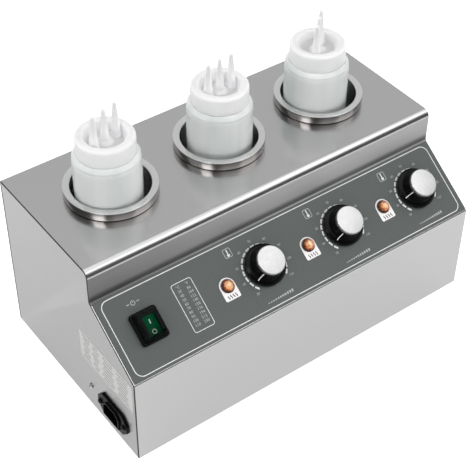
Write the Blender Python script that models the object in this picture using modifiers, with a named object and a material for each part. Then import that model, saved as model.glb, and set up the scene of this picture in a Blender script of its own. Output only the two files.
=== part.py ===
# Three-well topping warmer: a bent steel housing with three heated wells, three squeeze
# bottles standing in them, and a sloping control panel with a thermostat knob and a lamp
# for each well. Metres, +Z up, the front faces -Y, the origin is on the floor under the
# middle of the housing.

import math

import bmesh
import bpy
from mathutils import Matrix, Vector

# Clearances
FIT_GAP = 0.0003            # between pieces that touch or seat on each other
RUN_GAP = 0.0008            # between a turning knob and the panel under it
CUT_OVERRUN = 0.002         # how far a cutter passes the face that it opens

# Housing
BODY_WIDTH = 0.400
BODY_DEPTH = 0.224
BODY_HEIGHT = 0.185         # from the lower edge of the sheet to the top plate
SHEET = 0.0012
BEND_RADIUS = 0.0024        # outside radius of the plain bends
NOSE_RADIUS = 0.008         # outside radius of the soft bend above the panel
SLOPE_FOOT_HEIGHT = 0.102   # lower edge of the sloping panel above the sheet's lower edge
NECK_FOOT_HEIGHT = 0.149    # upper edge of the sloping panel
NECK_SETBACK = 0.0685       # upright neck behind the front face
RETURN_WIDTH = 0.014        # flanges turned in under the housing
SIDE_FLANGE = 0.016         # flanges turned in round each side panel
BEND_STEPS = 3
NOSE_STEPS = 6

# Base and feet
FOOT_HEIGHT = 0.0065
FOOT_RADIUS = 0.009
FOOT_TAPER = 0.0015
FOOT_EDGE = 0.001
FOOT_STEPS = 10
FOOT_INSET = 0.030          # foot centre in from the housing's faces
FOOT_STUD_RADIUS = 0.003
FOOT_BARB_RADIUS = 0.0042
FOOT_BARB_HEIGHT = 0.003
BASE_INSET = 0.003
VENT_LENGTH = 0.030
VENT_WIDTH = 0.003
VENT_PITCH = 0.018
VENT_COUNT = 5
VENT_ROW_SHARE = 0.136      # of the depth, to either side of the middle
VENT_STEPS = 2
BASE_SCREW_SHARE = 0.325    # of the width, to either side of the middle
SCREW_RADIUS = 0.0015
SCREW_HEAD_RADIUS = 0.003
SCREW_HEAD_HEIGHT = 0.0019
SCREW_LENGTH = 0.007
SCREW_STEPS = 8

# Wells
WELL_PITCH_SHARE = 0.3075   # of the width
WELL_PLACE_SHARE = 0.5335   # of the top plate's depth, behind the neck
WELL_RADIUS = 0.038         # inside
WELL_DEPTH = 0.140          # from the rim down to the floor inside
CUP_WALL = 0.001
CUP_CORNER = 0.006          # inside radius between wall and floor
RIM_HEIGHT = 0.009          # rim top above the top plate
RIM_RADIUS = 0.0448         # outside of rim and collar
RIM_ROUND = 0.0012
COLLAR_WALL = 0.0016
COLLAR_ROUND = 0.0008
HEATER_THICKNESS = 0.003
HEATER_HEIGHT = 0.060
HEATER_LIFT = 0.012         # lower edge of the band above the cup's underside
HEATER_SLIT = 0.004
HEATER_EAR_LENGTH = 0.009
HEATER_EAR_HEIGHT = 0.014
CUP_BEND_STEPS = 2
WELL_STEPS = 24

# Squeeze bottles, heights from the bottle's foot
BOTTLE_RADIUS = 0.032
BOTTLE_WALL = 0.0012
BOTTLE_FOOT_ROUND = 0.005
BOTTLE_PUSH_UP = 0.003
BOTTLE_FOOT_RING = 0.005    # width of the ring that the bottle stands on
SHOULDER_START = 0.1710
SHOULDER_MID = 0.1750
SHOULDER_MID_RADIUS = 0.0313
BEAD_HEIGHT = 0.1780
BEAD_RADIUS = 0.0302
SHOULDER_TOP = 0.1805
SHOULDER_TOP_RADIUS = 0.0286
NECK_RADIUS = 0.025
NECK_TOP = 0.195
BOTTLE_OFFSETS = ((-0.0034, -0.0018), (0.0014, 0.0010), (-0.0034, 0.0009))
NOZZLE_ROW_TURNS_DEG = (15.5, 5.5, 43.0)
BOTTLE_STEPS = 22

# Bottle caps, heights from the skirt's lower edge
CAP_RADIUS = 0.0278
CAP_HEIGHT = 0.0183
CAP_WALL = 0.0014
CAP_EDGE = 0.0016           # rounding of the upper edge
DISH_RADIUS = 0.0206
DISH_FLOOR_RADIUS = 0.0165
DISH_DEPTH = 0.009
MOUND_RADIUS = 0.0085
MOUND_HEIGHT = 0.004
NOZZLE_SPACING = 0.0142
NOZZLE_BASE_RADIUS = 0.0048
NOZZLE_TIP_RADIUS = 0.0017
NOZZLE_RISE = 0.0266        # tips above the cap's upper edge
NOZZLE_BORE_RADIUS = 0.001
NOZZLE_BORE_BASE = 0.0034
NOZZLE_ROOT = 0.0005        # how far the nozzles sink into the dish floor
NOZZLE_STEPS = 8

# Control panel: places run right from the housing's middle, as shares of its width, and
# up the slope from its lower edge, as shares of its length. Heights rise square to the
# panel from the sheet's outer face
OVERLAY_THICKNESS = 0.0008
OVERLAY_SIDE_MARGIN = 0.0012
OVERLAY_LOWER_MARGIN = 0.0013
OVERLAY_UPPER_MARGIN = 0.0013
OVERLAY_CORNER = 0.0015
CONTROL_PITCH_SHARE = 0.23675   # of the width
KNOB_MIDDLE_SHARE = 0.1565      # of the width, right of the middle
LAMP_MIDDLE_SHARE = 0.048
KNOB_UP_SHARE = 0.52            # of the slope's length
LAMP_UP_SHARE = 0.5

# Thermostats, shafts and knobs
BUSH_RADIUS = 0.0048
BUSH_PROUD = 0.0009         # bush above the sheet
SHAFT_RADIUS = 0.003
SHAFT_TIP = 0.0135          # shaft end above the sheet
SHAFT_TAIL = 0.010          # shaft inside the thermostat below the sheet
SHAFT_FLAT = 0.0006         # depth of the flat along the shaft's upper half
THERMOSTAT_WIDTH = 0.036
THERMOSTAT_LENGTH = 0.032
THERMOSTAT_DEPTH = 0.020
THERMOSTAT_EDGE = 0.002
TERMINAL_WIDTH = 0.0063
TERMINAL_THICKNESS = 0.0008
TERMINAL_LENGTH = 0.008
TERMINAL_SPACING = 0.016
SKIRT_RADIUS = 0.0203
SKIRT_HEIGHT = 0.0016
SKIRT_SLOPE_RADIUS = 0.0165
SKIRT_SLOPE_HEIGHT = 0.0048
GRIP_BASE_RADIUS = 0.0158
GRIP_TOP_RADIUS = 0.0147
GRIP_HEIGHT = 0.0150
KNOB_HOLLOW_DEPTH = 0.003
KNOB_HUB_RADIUS = 0.007
KNOB_RIM_WALL = 0.0022
KNOB_CAP_RADIUS = 0.0142
KNOB_CAP_SKIRT = 0.0032
KNOB_CAP_THICKNESS = 0.0008
KNOB_CAP_CHAMFER = 0.0009
KNOB_STEPS = 22
SHAFT_STEPS = 10
KNOB_TURNS_DEG = (0, 0, -20)    # clockwise from the off mark

# Lamps
LENS_RADIUS = 0.0058
LENS_RISE = 0.0034
LENS_RIM = 0.0012
LENS_PLUG_RADIUS = 0.0036
LENS_PLUG_LENGTH = 0.004
LENS_FACETS = 10
LAMP_FLANGE_RADIUS = 0.0068
LAMP_FLANGE_THICKNESS = 0.0012
LAMP_BARREL_RADIUS = 0.0049
LAMP_BARREL_WALL = 0.0009
LAMP_LENGTH = 0.024
LAMP_STEPS = 12

# Power switch
SWITCH_SHARE = -0.4055      # of the width, right of the middle
SWITCH_UP_SHARE = 0.503     # of the slope's length
SWITCH_FLANGE_WIDTH = 0.0276
SWITCH_FLANGE_LENGTH = 0.0312
SWITCH_FLANGE_HEIGHT = 0.0042
SWITCH_FLANGE_CORNER = 0.003
SWITCH_BODY_WIDTH = 0.0214
SWITCH_BODY_LENGTH = 0.0270
SWITCH_BODY_DEPTH = 0.022
SWITCH_WELL_WIDTH = 0.0176
SWITCH_WELL_LENGTH = 0.0242
SWITCH_WELL_DEPTH = 0.010   # below the sheet
ROCKER_WIDTH = 0.0166
ROCKER_LENGTH = 0.0226
ROCKER_PIVOT = 0.0005       # pivot above the sheet
ROCKER_TOP = 0.0062         # ridge line of the rocker above its pivot
ROCKER_RAKE_DEG = 8.0       # each half of the rocker leans this much, and it tips as far
ROCKER_KEEL = 0.0075        # depth of the rocker under its pivot
ROCKER_END_LEAN = 0.0011    # upper edges drawn in, so that the ends clear the frame
BOOT_LIP = 0.0012
BOOT_WALL = 0.0011
BOOT_HEIGHT = 0.0078        # above the frame
BOOT_DRAFT = 0.0028
BOOT_EDGE = 0.0012

# Mains inlet in the left side: places run back from the front face and up from the
# sheet's lower edge, and heights stand out from the side panel
INLET_SETBACK = 0.0405
INLET_UP = 0.0275
INLET_FLANGE_LENGTH = 0.050
INLET_FLANGE_WIDTH = 0.027
INLET_FLANGE_TIP = 0.0095   # width of the flange at its two ends
INLET_FLANGE_THICKNESS = 0.0026
INLET_RIM = 0.0046          # socket rim above the side panel
INLET_OPENING_LENGTH = 0.0242
INLET_OPENING_WIDTH = 0.0162
INLET_CHAMFER = 0.005
INLET_WALL = 0.0017
INLET_DEPTH = 0.012         # socket floor below the side panel
INLET_BACK = 0.003
INLET_SCREW_PITCH = 0.040
PIN_WIDTH = 0.0021
PIN_HEIGHT = 0.0040
PIN_SPACING = 0.0070
PIN_EARTH_RISE = 0.0020     # earth pin above the middle, the other two as far below it
PIN_SETBACK = 0.0055        # pin tips below the rim
PIN_TAIL = 0.009
EARTH_SCREW_SETBACK = 0.081
EARTH_SCREW_UP = 0.0279
NUT_RADIUS = 0.0034
NUT_HEIGHT = 0.0026

# Terminal block on the base
BLOCK_LENGTH = 0.060
BLOCK_WIDTH = 0.020
BLOCK_HEIGHT = 0.015
BLOCK_STEP = 0.005
BLOCK_X_SHARE = -0.2375     # of the width and the depth, from the middle
BLOCK_Y_SHARE = -0.317
BLOCK_HOLE_RADIUS = 0.0028
BLOCK_HOLE_DEPTH = 0.006
BLOCK_WAYS = 4

MERGE_DISTANCE = 0.00001
SMOOTH_ANGLE_DEG = 35.0
FULL_TURN = 2 * math.pi

# Places worked out from the driving sizes
SHEET_FOOT = FOOT_HEIGHT + SHEET + FIT_GAP          # lower edge of the housing's sheet
TOP_Z = SHEET_FOOT + BODY_HEIGHT
FRONT_Y = -BODY_DEPTH / 2
BACK_Y = BODY_DEPTH / 2
NECK_Y = FRONT_Y + NECK_SETBACK
SLOPE_RISE = NECK_FOOT_HEIGHT - SLOPE_FOOT_HEIGHT
SLOPE_ANGLE = math.atan2(SLOPE_RISE, NECK_SETBACK)
SLOPE_LENGTH = math.hypot(SLOPE_RISE, NECK_SETBACK)
SLOPE_FOOT_Z = SHEET_FOOT + SLOPE_FOOT_HEIGHT
INNER_INSET = SHEET + FIT_GAP                       # side panels lie this far inside
OVERLAY_TOP = FIT_GAP + OVERLAY_THICKNESS
WELL_PITCH = BODY_WIDTH * WELL_PITCH_SHARE
CUP_HOLE_RADIUS = WELL_RADIUS + CUP_WALL + FIT_GAP
SCREW_HOLE_RADIUS = SCREW_RADIUS + FIT_GAP
BASE_SCREW_INSET = RETURN_WIDTH / 2 + SHEET
WELL_Y = NECK_Y + WELL_PLACE_SHARE * (BODY_DEPTH - NECK_SETBACK)
KNOB_UP = KNOB_UP_SHARE * SLOPE_LENGTH
LAMP_UP = LAMP_UP_SHARE * SLOPE_LENGTH
SWITCH_X = SWITCH_SHARE * BODY_WIDTH
SWITCH_UP = SWITCH_UP_SHARE * SLOPE_LENGTH
RIM_TOP = TOP_Z + RIM_HEIGHT
WELL_FLOOR = RIM_TOP - WELL_DEPTH
CAP_SEAT = SHOULDER_TOP + FIT_GAP
CONTROLS = (-1, 0, 1)                               # left, middle and right well


def clear_scene():
    for thing in list(bpy.data.objects):
        bpy.data.objects.remove(thing, do_unlink=True)


def collection(name, hidden=False):
    made = bpy.data.collections.new(name)
    made.hide_render = hidden
    bpy.context.scene.collection.children.link(made)
    return made


def material(name, colour, roughness, metallic=0.0, alpha=1.0):
    made = bpy.data.materials.new(name)
    made.use_nodes = True
    made.diffuse_color = (*colour, alpha)
    shader = made.node_tree.nodes["Principled BSDF"]
    shader.inputs["Base Color"].default_value = (*colour, 1)
    shader.inputs["Roughness"].default_value = roughness
    shader.inputs["Metallic"].default_value = metallic
    shader.inputs["Alpha"].default_value = alpha
    return made


clear_scene()
PARTS = collection("topping_warmer")
CUTTERS = collection("cutters", hidden=True)

BRUSHED = material("brushed_stainless", (0.60, 0.59, 0.57), 0.34, 1.0)
POLISHED = material("polished_stainless", (0.72, 0.71, 0.70), 0.12, 1.0)
OVERLAY = material("printed_overlay", (0.135, 0.150, 0.142), 0.45)
BLACK_PLASTIC = material("black_plastic", (0.012, 0.012, 0.013), 0.30)
SPUN = material("spun_aluminium", (0.86, 0.86, 0.87), 0.22, 1.0)
AMBER = material("amber_lens", (0.85, 0.33, 0.10), 0.15)
LAMP_METAL = material("lamp_bezel", (0.20, 0.10, 0.06), 0.25, 1.0)
GREEN = material("green_rocker", (0.005, 0.12, 0.06), 0.30)
CLEAR = material("clear_boot", (0.50, 0.55, 0.55), 0.15, 0.0, 0.35)
BLACK_NYLON = material("black_nylon", (0.018, 0.018, 0.019), 0.45)
PLATED = material("plated_metal", (0.70, 0.70, 0.68), 0.25, 1.0)
BLACKENED = material("blackened_steel", (0.03, 0.03, 0.03), 0.30, 1.0)
RUBBER = material("black_rubber", (0.02, 0.02, 0.02), 0.80)
BOTTLE_PLASTIC = material("milky_polyethylene", (0.72, 0.77, 0.76), 0.35, 0.0, 0.6)
CAP_PLASTIC = material("white_polyethylene", (0.86, 0.86, 0.86), 0.35, 0.0, 0.85)
HEATER_METAL = material("heater_steel", (0.45, 0.43, 0.40), 0.45, 1.0)
PHENOLIC = material("phenolic_moulding", (0.10, 0.07, 0.05), 0.50)
WHITE_MOULDING = material("white_moulding", (0.78, 0.76, 0.72), 0.50)


def empty(name, location, rotation=(0, 0, 0)):
    made = bpy.data.objects.new(name, None)
    made.location = location
    made.rotation_euler = rotation
    PARTS.objects.link(made)
    return made


# The panel frame: X to the right, Y up the slope, Z out of the panel
PANEL = empty("panel_frame", (0, FRONT_Y, SLOPE_FOOT_Z), (SLOPE_ANGLE, 0, 0))
# The inlet frame: X to the front, Y up, Z out of the left side
INLET = empty(
    "inlet_frame",
    (-BODY_WIDTH / 2, FRONT_Y + INLET_SETBACK, SHEET_FOOT + INLET_UP),
    (math.pi / 2, 0, -math.pi / 2),
)


def shade(mesh):
    mesh.shade_smooth()
    mesh.set_sharp_from_angle(angle=math.radians(SMOOTH_ANGLE_DEG))


def place(name, mesh, finish, parent=None, location=(0, 0, 0), turn=0.0):
    """Links a finished mesh as the node of that name."""
    made = bpy.data.objects.new(name, mesh)
    made.location = location
    made.rotation_euler = (0, 0, turn)
    made.parent = parent
    if not mesh.materials:
        mesh.materials.append(finish)
    PARTS.objects.link(made)
    return made


def helper(name, mesh, location=(0, 0, 0), parent=None):
    """Links a mesh as a cutter or a guide, which isn't part of the model."""
    made = bpy.data.objects.new(name, mesh)
    made.location = location
    made.parent = parent
    made.hide_render = True
    made.display_type = "WIRE"
    CUTTERS.objects.link(made)
    return made


def boolean(target, other, operation="DIFFERENCE"):
    step = target.modifiers.new(other.name, "BOOLEAN")
    step.object = other
    step.operation = operation
    step.solver = "EXACT"


def baked(source):
    """The evaluated mesh of a helper in its own axes, with its doubles merged."""
    bpy.context.view_layer.update()
    graph = bpy.context.evaluated_depsgraph_get()
    mesh = bpy.data.meshes.new_from_object(source.evaluated_get(graph))
    mesh.materials.clear()
    work = bmesh.new()
    work.from_mesh(mesh)
    bmesh.ops.remove_doubles(work, verts=work.verts, dist=MERGE_DISTANCE)
    bmesh.ops.dissolve_degenerate(work, edges=work.edges, dist=MERGE_DISTANCE)
    work.to_mesh(mesh)
    work.free()
    return mesh


def rounded(points, radii, steps, closed=True):
    """The outline with an arc of that radius at each corner. A radius of 0 leaves it."""
    result = []
    count = len(points)
    for index, point in enumerate(points):
        radius = radii[index]
        end = not closed and index in (0, count - 1)
        if end or not radius:
            result.append(point)
            continue
        here = Vector(point)
        before = (Vector(points[index - 1]) - here).normalized()
        after = (Vector(points[(index + 1) % count]) - here).normalized()
        half = before.angle(after) / 2
        centre = here + (before + after).normalized() * radius / math.sin(half)
        start = here + before * radius / math.tan(half) - centre
        finish = here + after * radius / math.tan(half) - centre
        swing = math.atan2(start.cross(finish), start.dot(finish))
        for step in range(steps + 1):
            spot = centre + Matrix.Rotation(swing * step / steps, 2) @ start
            result.append((spot.x, spot.y))
    return result


def inset(points, distance):
    """A closed anticlockwise outline moved inwards, each side by the same distance."""
    moved = []
    count = len(points)
    for index in range(count):
        here = Vector(points[index])
        before = (here - Vector(points[index - 1])).normalized()
        after = (Vector(points[(index + 1) % count]) - here).normalized()
        inward = Vector((-before.y, before.x)) + Vector((-after.y, after.x))
        spread = inward.normalized() @ Vector((-before.y, before.x))
        spot = here + inward.normalized() * distance / spread
        moved.append((spot.x, spot.y))
    return moved


def rectangle(width, height, centre=(0, 0)):
    x, y = centre
    corners = ((-1, -1), (1, -1), (1, 1), (-1, 1))
    return [(x + a * width / 2, y + b * height / 2) for a, b in corners]


def circle(radius, steps, centre=(0, 0)):
    angles = [FULL_TURN * step / steps for step in range(steps)]
    return [(centre[0] + radius * math.cos(a), centre[1] + radius * math.sin(a)) for a in angles]


def plate(outlines, low, high):
    """A flat plate as a filled 2D curve made a mesh. Outlines inside the first are holes."""
    data = bpy.data.curves.new("outline", "CURVE")
    data.dimensions = "2D"
    data.fill_mode = "BOTH"
    data.extrude = (high - low) / 2
    for outline in outlines:
        spline = data.splines.new("POLY")
        spline.points.add(len(outline) - 1)
        for point, (x, y) in zip(spline.points, outline):
            point.co = (x, y, 0, 1)
        spline.use_cyclic_u = True
    guide = bpy.data.objects.new("outline", data)
    CUTTERS.objects.link(guide)
    mesh = baked(guide)
    bpy.data.objects.remove(guide)
    mesh.transform(Matrix.Translation((0, 0, (low + high) / 2)))
    return mesh


def turned(profile, steps, closed=False):
    """A turned shape: the profile of (radius, height) runs down its outer side."""
    mesh = bpy.data.meshes.new("profile")
    ends = [(i, i + 1) for i in range(len(profile) - 1)]
    if closed:
        ends.append((len(profile) - 1, 0))
    mesh.from_pydata([(radius, 0, height) for radius, height in profile], ends, [])
    guide = helper("profile", mesh)
    screw = guide.modifiers.new("turn", "SCREW")
    screw.steps = steps
    screw.render_steps = steps
    screw.use_merge_vertices = True
    screw.merge_threshold = MERGE_DISTANCE
    made = baked(guide)
    bpy.data.objects.remove(guide)
    return made


def block(size, centre=(0, 0, 0)):
    mesh = bpy.data.meshes.new("block")
    work = bmesh.new()
    bmesh.ops.create_cube(work, size=1)
    bmesh.ops.scale(work, vec=size, verts=work.verts)
    bmesh.ops.translate(work, vec=centre, verts=work.verts)
    work.to_mesh(mesh)
    work.free()
    return mesh


def cone(low_radius, high_radius, low, high, steps, centre=(0, 0)):
    mesh = bpy.data.meshes.new("cone")
    work = bmesh.new()
    bmesh.ops.create_cone(
        work, cap_ends=True, segments=steps, radius1=low_radius, radius2=high_radius, depth=high - low
    )
    bmesh.ops.translate(work, vec=(*centre, (low + high) / 2), verts=work.verts)
    work.to_mesh(mesh)
    work.free()
    return mesh


def assembled(first, changes):
    """The first mesh with the others joined to it or cut from it, in order."""
    base = helper("assembly", first)
    others = []
    for operation, mesh in changes:
        other = helper("change", mesh)
        boolean(base, other, operation)
        others.append(other)
    made = baked(base)
    for other in [base, *others]:
        bpy.data.objects.remove(other)
    return made


def softened(mesh, width, steps=1, angle_deg=50.0):
    """The mesh with its sharp edges rounded by a Bevel."""
    base = helper("soft", mesh)
    bevel = base.modifiers.new("edges", "BEVEL")
    bevel.width = width
    bevel.segments = steps
    bevel.limit_method = "ANGLE"
    bevel.angle_limit = math.radians(angle_deg)
    made = baked(base)
    bpy.data.objects.remove(base)
    return made


# Housing

def housing_outline():
    """Side view of the housing as (y, z), anticlockwise seen from +X, corners sharp."""
    return [
        (FRONT_Y, SHEET_FOOT),
        (BACK_Y, SHEET_FOOT),
        (BACK_Y, TOP_Z),
        (NECK_Y, TOP_Z),
        (NECK_Y, SHEET_FOOT + NECK_FOOT_HEIGHT),
        (FRONT_Y, SLOPE_FOOT_Z),
    ]


def wrap_cover():
    """One sheet bent round front, panel, neck, top and back, with the wells' and controls' holes."""
    front, rear, rear_top, nose, neck_foot, slope_foot = housing_outline()
    path = [
        (FRONT_Y + RETURN_WIDTH, SHEET_FOOT), front, slope_foot, neck_foot,
        nose, rear_top, rear, (BACK_Y - RETURN_WIDTH, SHEET_FOOT),
    ]
    radii = [0, BEND_RADIUS, BEND_RADIUS, BEND_RADIUS, NOSE_RADIUS, BEND_RADIUS, BEND_RADIUS, 0]
    bent = []
    for index in range(1, len(path) - 1):
        steps = NOSE_STEPS if path[index] == nose else BEND_STEPS
        bent += rounded(path[index - 1:index + 2], [0, radii[index], 0], steps, closed=False)[1:-1]
    line = [path[0], *bent, path[-1]]
    work = bmesh.new()
    left = [work.verts.new((-BODY_WIDTH / 2, y, z)) for y, z in line]
    edges = [work.edges.new(pair) for pair in zip(left, left[1:])]
    grown = bmesh.ops.extrude_edge_only(work, edges=edges)["geom"]
    moved = [item for item in grown if isinstance(item, bmesh.types.BMVert)]
    bmesh.ops.translate(work, vec=(BODY_WIDTH, 0, 0), verts=moved)
    bmesh.ops.recalc_face_normals(work, faces=work.faces)
    top = max(work.faces, key=lambda face: face.calc_center_median().z)
    if top.normal.z < 0:
        bmesh.ops.reverse_faces(work, faces=work.faces)
    mesh = bpy.data.meshes.new("wrap_cover")
    work.to_mesh(mesh)
    work.free()
    cover = place("wrap_cover", mesh, BRUSHED)
    wall = cover.modifiers.new("sheet", "SOLIDIFY")
    wall.thickness = SHEET
    wall.offset = -1
    wall.use_even_offset = True
    for side in CONTROLS:
        hole = cone(CUP_HOLE_RADIUS, CUP_HOLE_RADIUS, -CUT_OVERRUN - SHEET, CUT_OVERRUN, WELL_STEPS)
        boolean(cover, helper("well_cutter", hole, (side * WELL_PITCH, WELL_Y, TOP_Z)))
    for spot, mesh in panel_cutters():
        boolean(cover, helper("panel_cutter", mesh, (*spot, 0), PANEL))
    for end in (-1, 1):
        for face, back in ((FRONT_Y, 1), (BACK_Y, -1)):
            notch = block(
                (INNER_INSET + CUT_OVERRUN, RETURN_WIDTH + CUT_OVERRUN, BEND_RADIUS + SHEET + CUT_OVERRUN),
                (
                    end * (BODY_WIDTH - INNER_INSET + CUT_OVERRUN) / 2,
                    face + back * (INNER_INSET + (RETURN_WIDTH + CUT_OVERRUN) / 2),
                    SHEET_FOOT + (BEND_RADIUS + SHEET - CUT_OVERRUN) / 2,
                ),
            )
            boolean(cover, helper("relief_cutter", notch))
    for x, y in base_screw_spots():
        hole = cone(SCREW_HOLE_RADIUS, SCREW_HOLE_RADIUS, -CUT_OVERRUN, SHEET + CUT_OVERRUN, SCREW_STEPS)
        boolean(cover, helper("screw_cutter", hole, (x, y, SHEET_FOOT)))
    shade(cover.data)


def base_screw_spots():
    """Under the turned-in flanges of the front and the back."""
    return [
        (side * BASE_SCREW_SHARE * BODY_WIDTH, face)
        for side in (-1, 1)
        for face in (FRONT_Y + BASE_SCREW_INSET, BACK_Y - BASE_SCREW_INSET)
    ]


def panel_cutters():
    """Openings in the slope for the shafts' bushes, the lamps and the switch."""
    low = -CUT_OVERRUN - SHEET
    high = OVERLAY_TOP + CUT_OVERRUN
    bush = BUSH_RADIUS + FIT_GAP
    lamp = LAMP_BARREL_RADIUS + FIT_GAP
    cuts = []
    for side in CONTROLS:
        cuts.append(((knob_x(side), KNOB_UP), cone(bush, bush, low, high, LAMP_STEPS)))
        cuts.append(((lamp_x(side), LAMP_UP), cone(lamp, lamp, low, high, LAMP_STEPS)))
    width = SWITCH_BODY_WIDTH + 2 * FIT_GAP
    length = SWITCH_BODY_LENGTH + 2 * FIT_GAP
    cuts.append(((SWITCH_X, SWITCH_UP), plate([rectangle(width, length)], low, high)))
    return cuts


def knob_x(side):
    return BODY_WIDTH * (KNOB_MIDDLE_SHARE + side * CONTROL_PITCH_SHARE)


def lamp_x(side):
    return BODY_WIDTH * (LAMP_MIDDLE_SHARE + side * CONTROL_PITCH_SHARE)


def side_panel(name, end):
    """A flat side with flanges turned in all round, inside the ends of the wrapped sheet."""
    front, rear, rear_top, nose, neck_foot, slope_foot = inset(housing_outline(), INNER_INSET)
    corners = [(front[0], SHEET_FOOT), (rear[0], SHEET_FOOT), rear_top, nose, neck_foot, slope_foot]
    radii = [0, 0, BEND_RADIUS - INNER_INSET, NOSE_RADIUS - INNER_INSET,
             BEND_RADIUS + INNER_INSET, BEND_RADIUS - INNER_INSET]
    outline = []
    for index, corner in enumerate(corners):
        around = [corners[index - 1], corner, corners[(index + 1) % len(corners)]]
        outline += rounded(around, [0, radii[index], 0], BEND_STEPS, closed=False)[1:-1]
    work = bmesh.new()
    verts = [work.verts.new((end * BODY_WIDTH / 2, y, z)) for y, z in outline]
    face = work.faces.new(verts)
    face.normal_update()
    if face.normal.x * end < 0:
        face.normal_flip()
    rim = bmesh.ops.extrude_edge_only(work, edges=list(work.edges))["geom"]
    moved = [item for item in rim if isinstance(item, bmesh.types.BMVert)]
    bmesh.ops.translate(work, vec=(-end * SIDE_FLANGE, 0, 0), verts=moved)
    bmesh.ops.recalc_face_normals(work, faces=work.faces)
    if face.normal.x * end < 0:
        bmesh.ops.reverse_faces(work, faces=work.faces)
    mesh = bpy.data.meshes.new(name)
    work.to_mesh(mesh)
    work.free()
    panel = place(name, mesh, BRUSHED)
    wall = panel.modifiers.new("sheet", "SOLIDIFY")
    wall.thickness = SHEET
    wall.offset = -1
    wall.use_even_offset = True
    # The lower corners of the flanges are relieved, clear of the cover's turned-in flanges
    for y, back in ((FRONT_Y, 1), (BACK_Y, -1)):
        run = RETURN_WIDTH + FIT_GAP
        relief = block(
            (SIDE_FLANGE, run + CUT_OVERRUN, INNER_INSET + BEND_RADIUS + CUT_OVERRUN),
            (
                end * (BODY_WIDTH / 2 - SHEET - FIT_GAP - SIDE_FLANGE / 2),
                y + back * (run - CUT_OVERRUN) / 2,
                SHEET_FOOT + (INNER_INSET + BEND_RADIUS - CUT_OVERRUN) / 2,
            ),
        )
        boolean(panel, helper("relief_cutter", relief))
    return panel


def base_plate():
    width = BODY_WIDTH - 2 * BASE_INSET
    depth = BODY_DEPTH - 2 * BASE_INSET
    outlines = [rounded(rectangle(width, depth), [BASE_INSET] * 4, BEND_STEPS)]
    for x, y in foot_spots():
        outlines.append(circle(FOOT_STUD_RADIUS + FIT_GAP, FOOT_STEPS, (x, y)))
    for x, y in base_screw_spots():
        outlines.append(circle(SCREW_HOLE_RADIUS, SCREW_STEPS, (x, y)))
    for row in (-1, 1):
        for index in range(VENT_COUNT):
            x = (index - (VENT_COUNT - 1) / 2) * VENT_PITCH
            slot = rectangle(VENT_WIDTH, VENT_LENGTH, (x, row * VENT_ROW_SHARE * BODY_DEPTH))
            outlines.append(rounded(slot, [VENT_WIDTH / 2 - FIT_GAP] * 4, VENT_STEPS))
    place("base_plate", plate(outlines, FOOT_HEIGHT, FOOT_HEIGHT + SHEET), BRUSHED)


def foot_spots():
    x = BODY_WIDTH / 2 - FOOT_INSET
    y = BODY_DEPTH / 2 - FOOT_INSET
    return [(-x, -y), (x, -y), (-x, y), (x, y)]


def rubber_feet():
    """Push-in feet: a tapered pad with a stud and a barb above the base plate."""
    under = FOOT_HEIGHT - FIT_GAP
    above = FOOT_HEIGHT + SHEET + FIT_GAP
    profile = [
        (0, above + FOOT_BARB_HEIGHT),
        (FOOT_STUD_RADIUS, above + FOOT_BARB_HEIGHT),
        (FOOT_BARB_RADIUS, above),
        (FOOT_STUD_RADIUS, above),
        (FOOT_STUD_RADIUS, under),
        (FOOT_RADIUS, under),
        (FOOT_RADIUS - FOOT_TAPER, FOOT_EDGE),
        (FOOT_RADIUS - FOOT_TAPER - FOOT_EDGE, 0),
        (0, 0),
    ]
    mesh = turned(profile, FOOT_STEPS)
    shade(mesh)
    for number, (x, y) in enumerate(foot_spots(), 1):
        place(f"rubber_foot_{number}", mesh, RUBBER, None, (x, y, 0))


def screw_mesh(length):
    """A pan-head screw with its head above height 0 and its shank below."""
    profile = [
        (0, SCREW_HEAD_HEIGHT),
        (SCREW_HEAD_RADIUS / 2, SCREW_HEAD_HEIGHT),
        (SCREW_HEAD_RADIUS - FIT_GAP, SCREW_HEAD_HEIGHT / 2),
        (SCREW_HEAD_RADIUS, 0),
        (SCREW_RADIUS, 0),
        (SCREW_RADIUS, -length),
        (0, -length),
    ]
    mesh = turned(profile, SCREW_STEPS)
    shade(mesh)
    return mesh


def base_screws():
    mesh = screw_mesh(SCREW_LENGTH)
    for number, (x, y) in enumerate(base_screw_spots(), 1):
        screw = place(f"base_screw_{number}", mesh, PLATED, None, (x, y, FOOT_HEIGHT - FIT_GAP))
        screw.rotation_euler = (math.pi, 0, 0)


# Wells

def well_cup_profile():
    inner = WELL_RADIUS
    outer = WELL_RADIUS + CUP_WALL
    floor = WELL_FLOOR
    corner_in = rounded(
        [(0, floor), (inner, floor), (inner, RIM_TOP)], [0, CUP_CORNER, 0], CUP_BEND_STEPS, closed=False
    )[1:-1]
    under = floor - CUP_WALL
    corner_out = rounded(
        [(outer, RIM_TOP), (outer, under), (0, under)], [0, CUP_CORNER + CUP_WALL, 0], CUP_BEND_STEPS, closed=False
    )[1:-1]
    return [
        (0, floor),
        *corner_in,
        (inner, RIM_TOP - RIM_ROUND),
        (inner + RIM_ROUND, RIM_TOP),
        (RIM_RADIUS, RIM_TOP),
        (RIM_RADIUS, RIM_TOP - CUP_WALL),
        (outer, RIM_TOP - CUP_WALL),
        *corner_out,
        (0, under),
    ]


def collar_profile():
    """A polished ring between the top plate and the cup's flange."""
    low = TOP_Z + FIT_GAP
    high = RIM_TOP - CUP_WALL - FIT_GAP
    wall = RIM_RADIUS - COLLAR_WALL
    return [
        (RIM_RADIUS - COLLAR_ROUND, high),
        (RIM_RADIUS, high - COLLAR_ROUND),
        (RIM_RADIUS, low),
        (wall, low),
        (wall, high),
    ]


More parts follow.
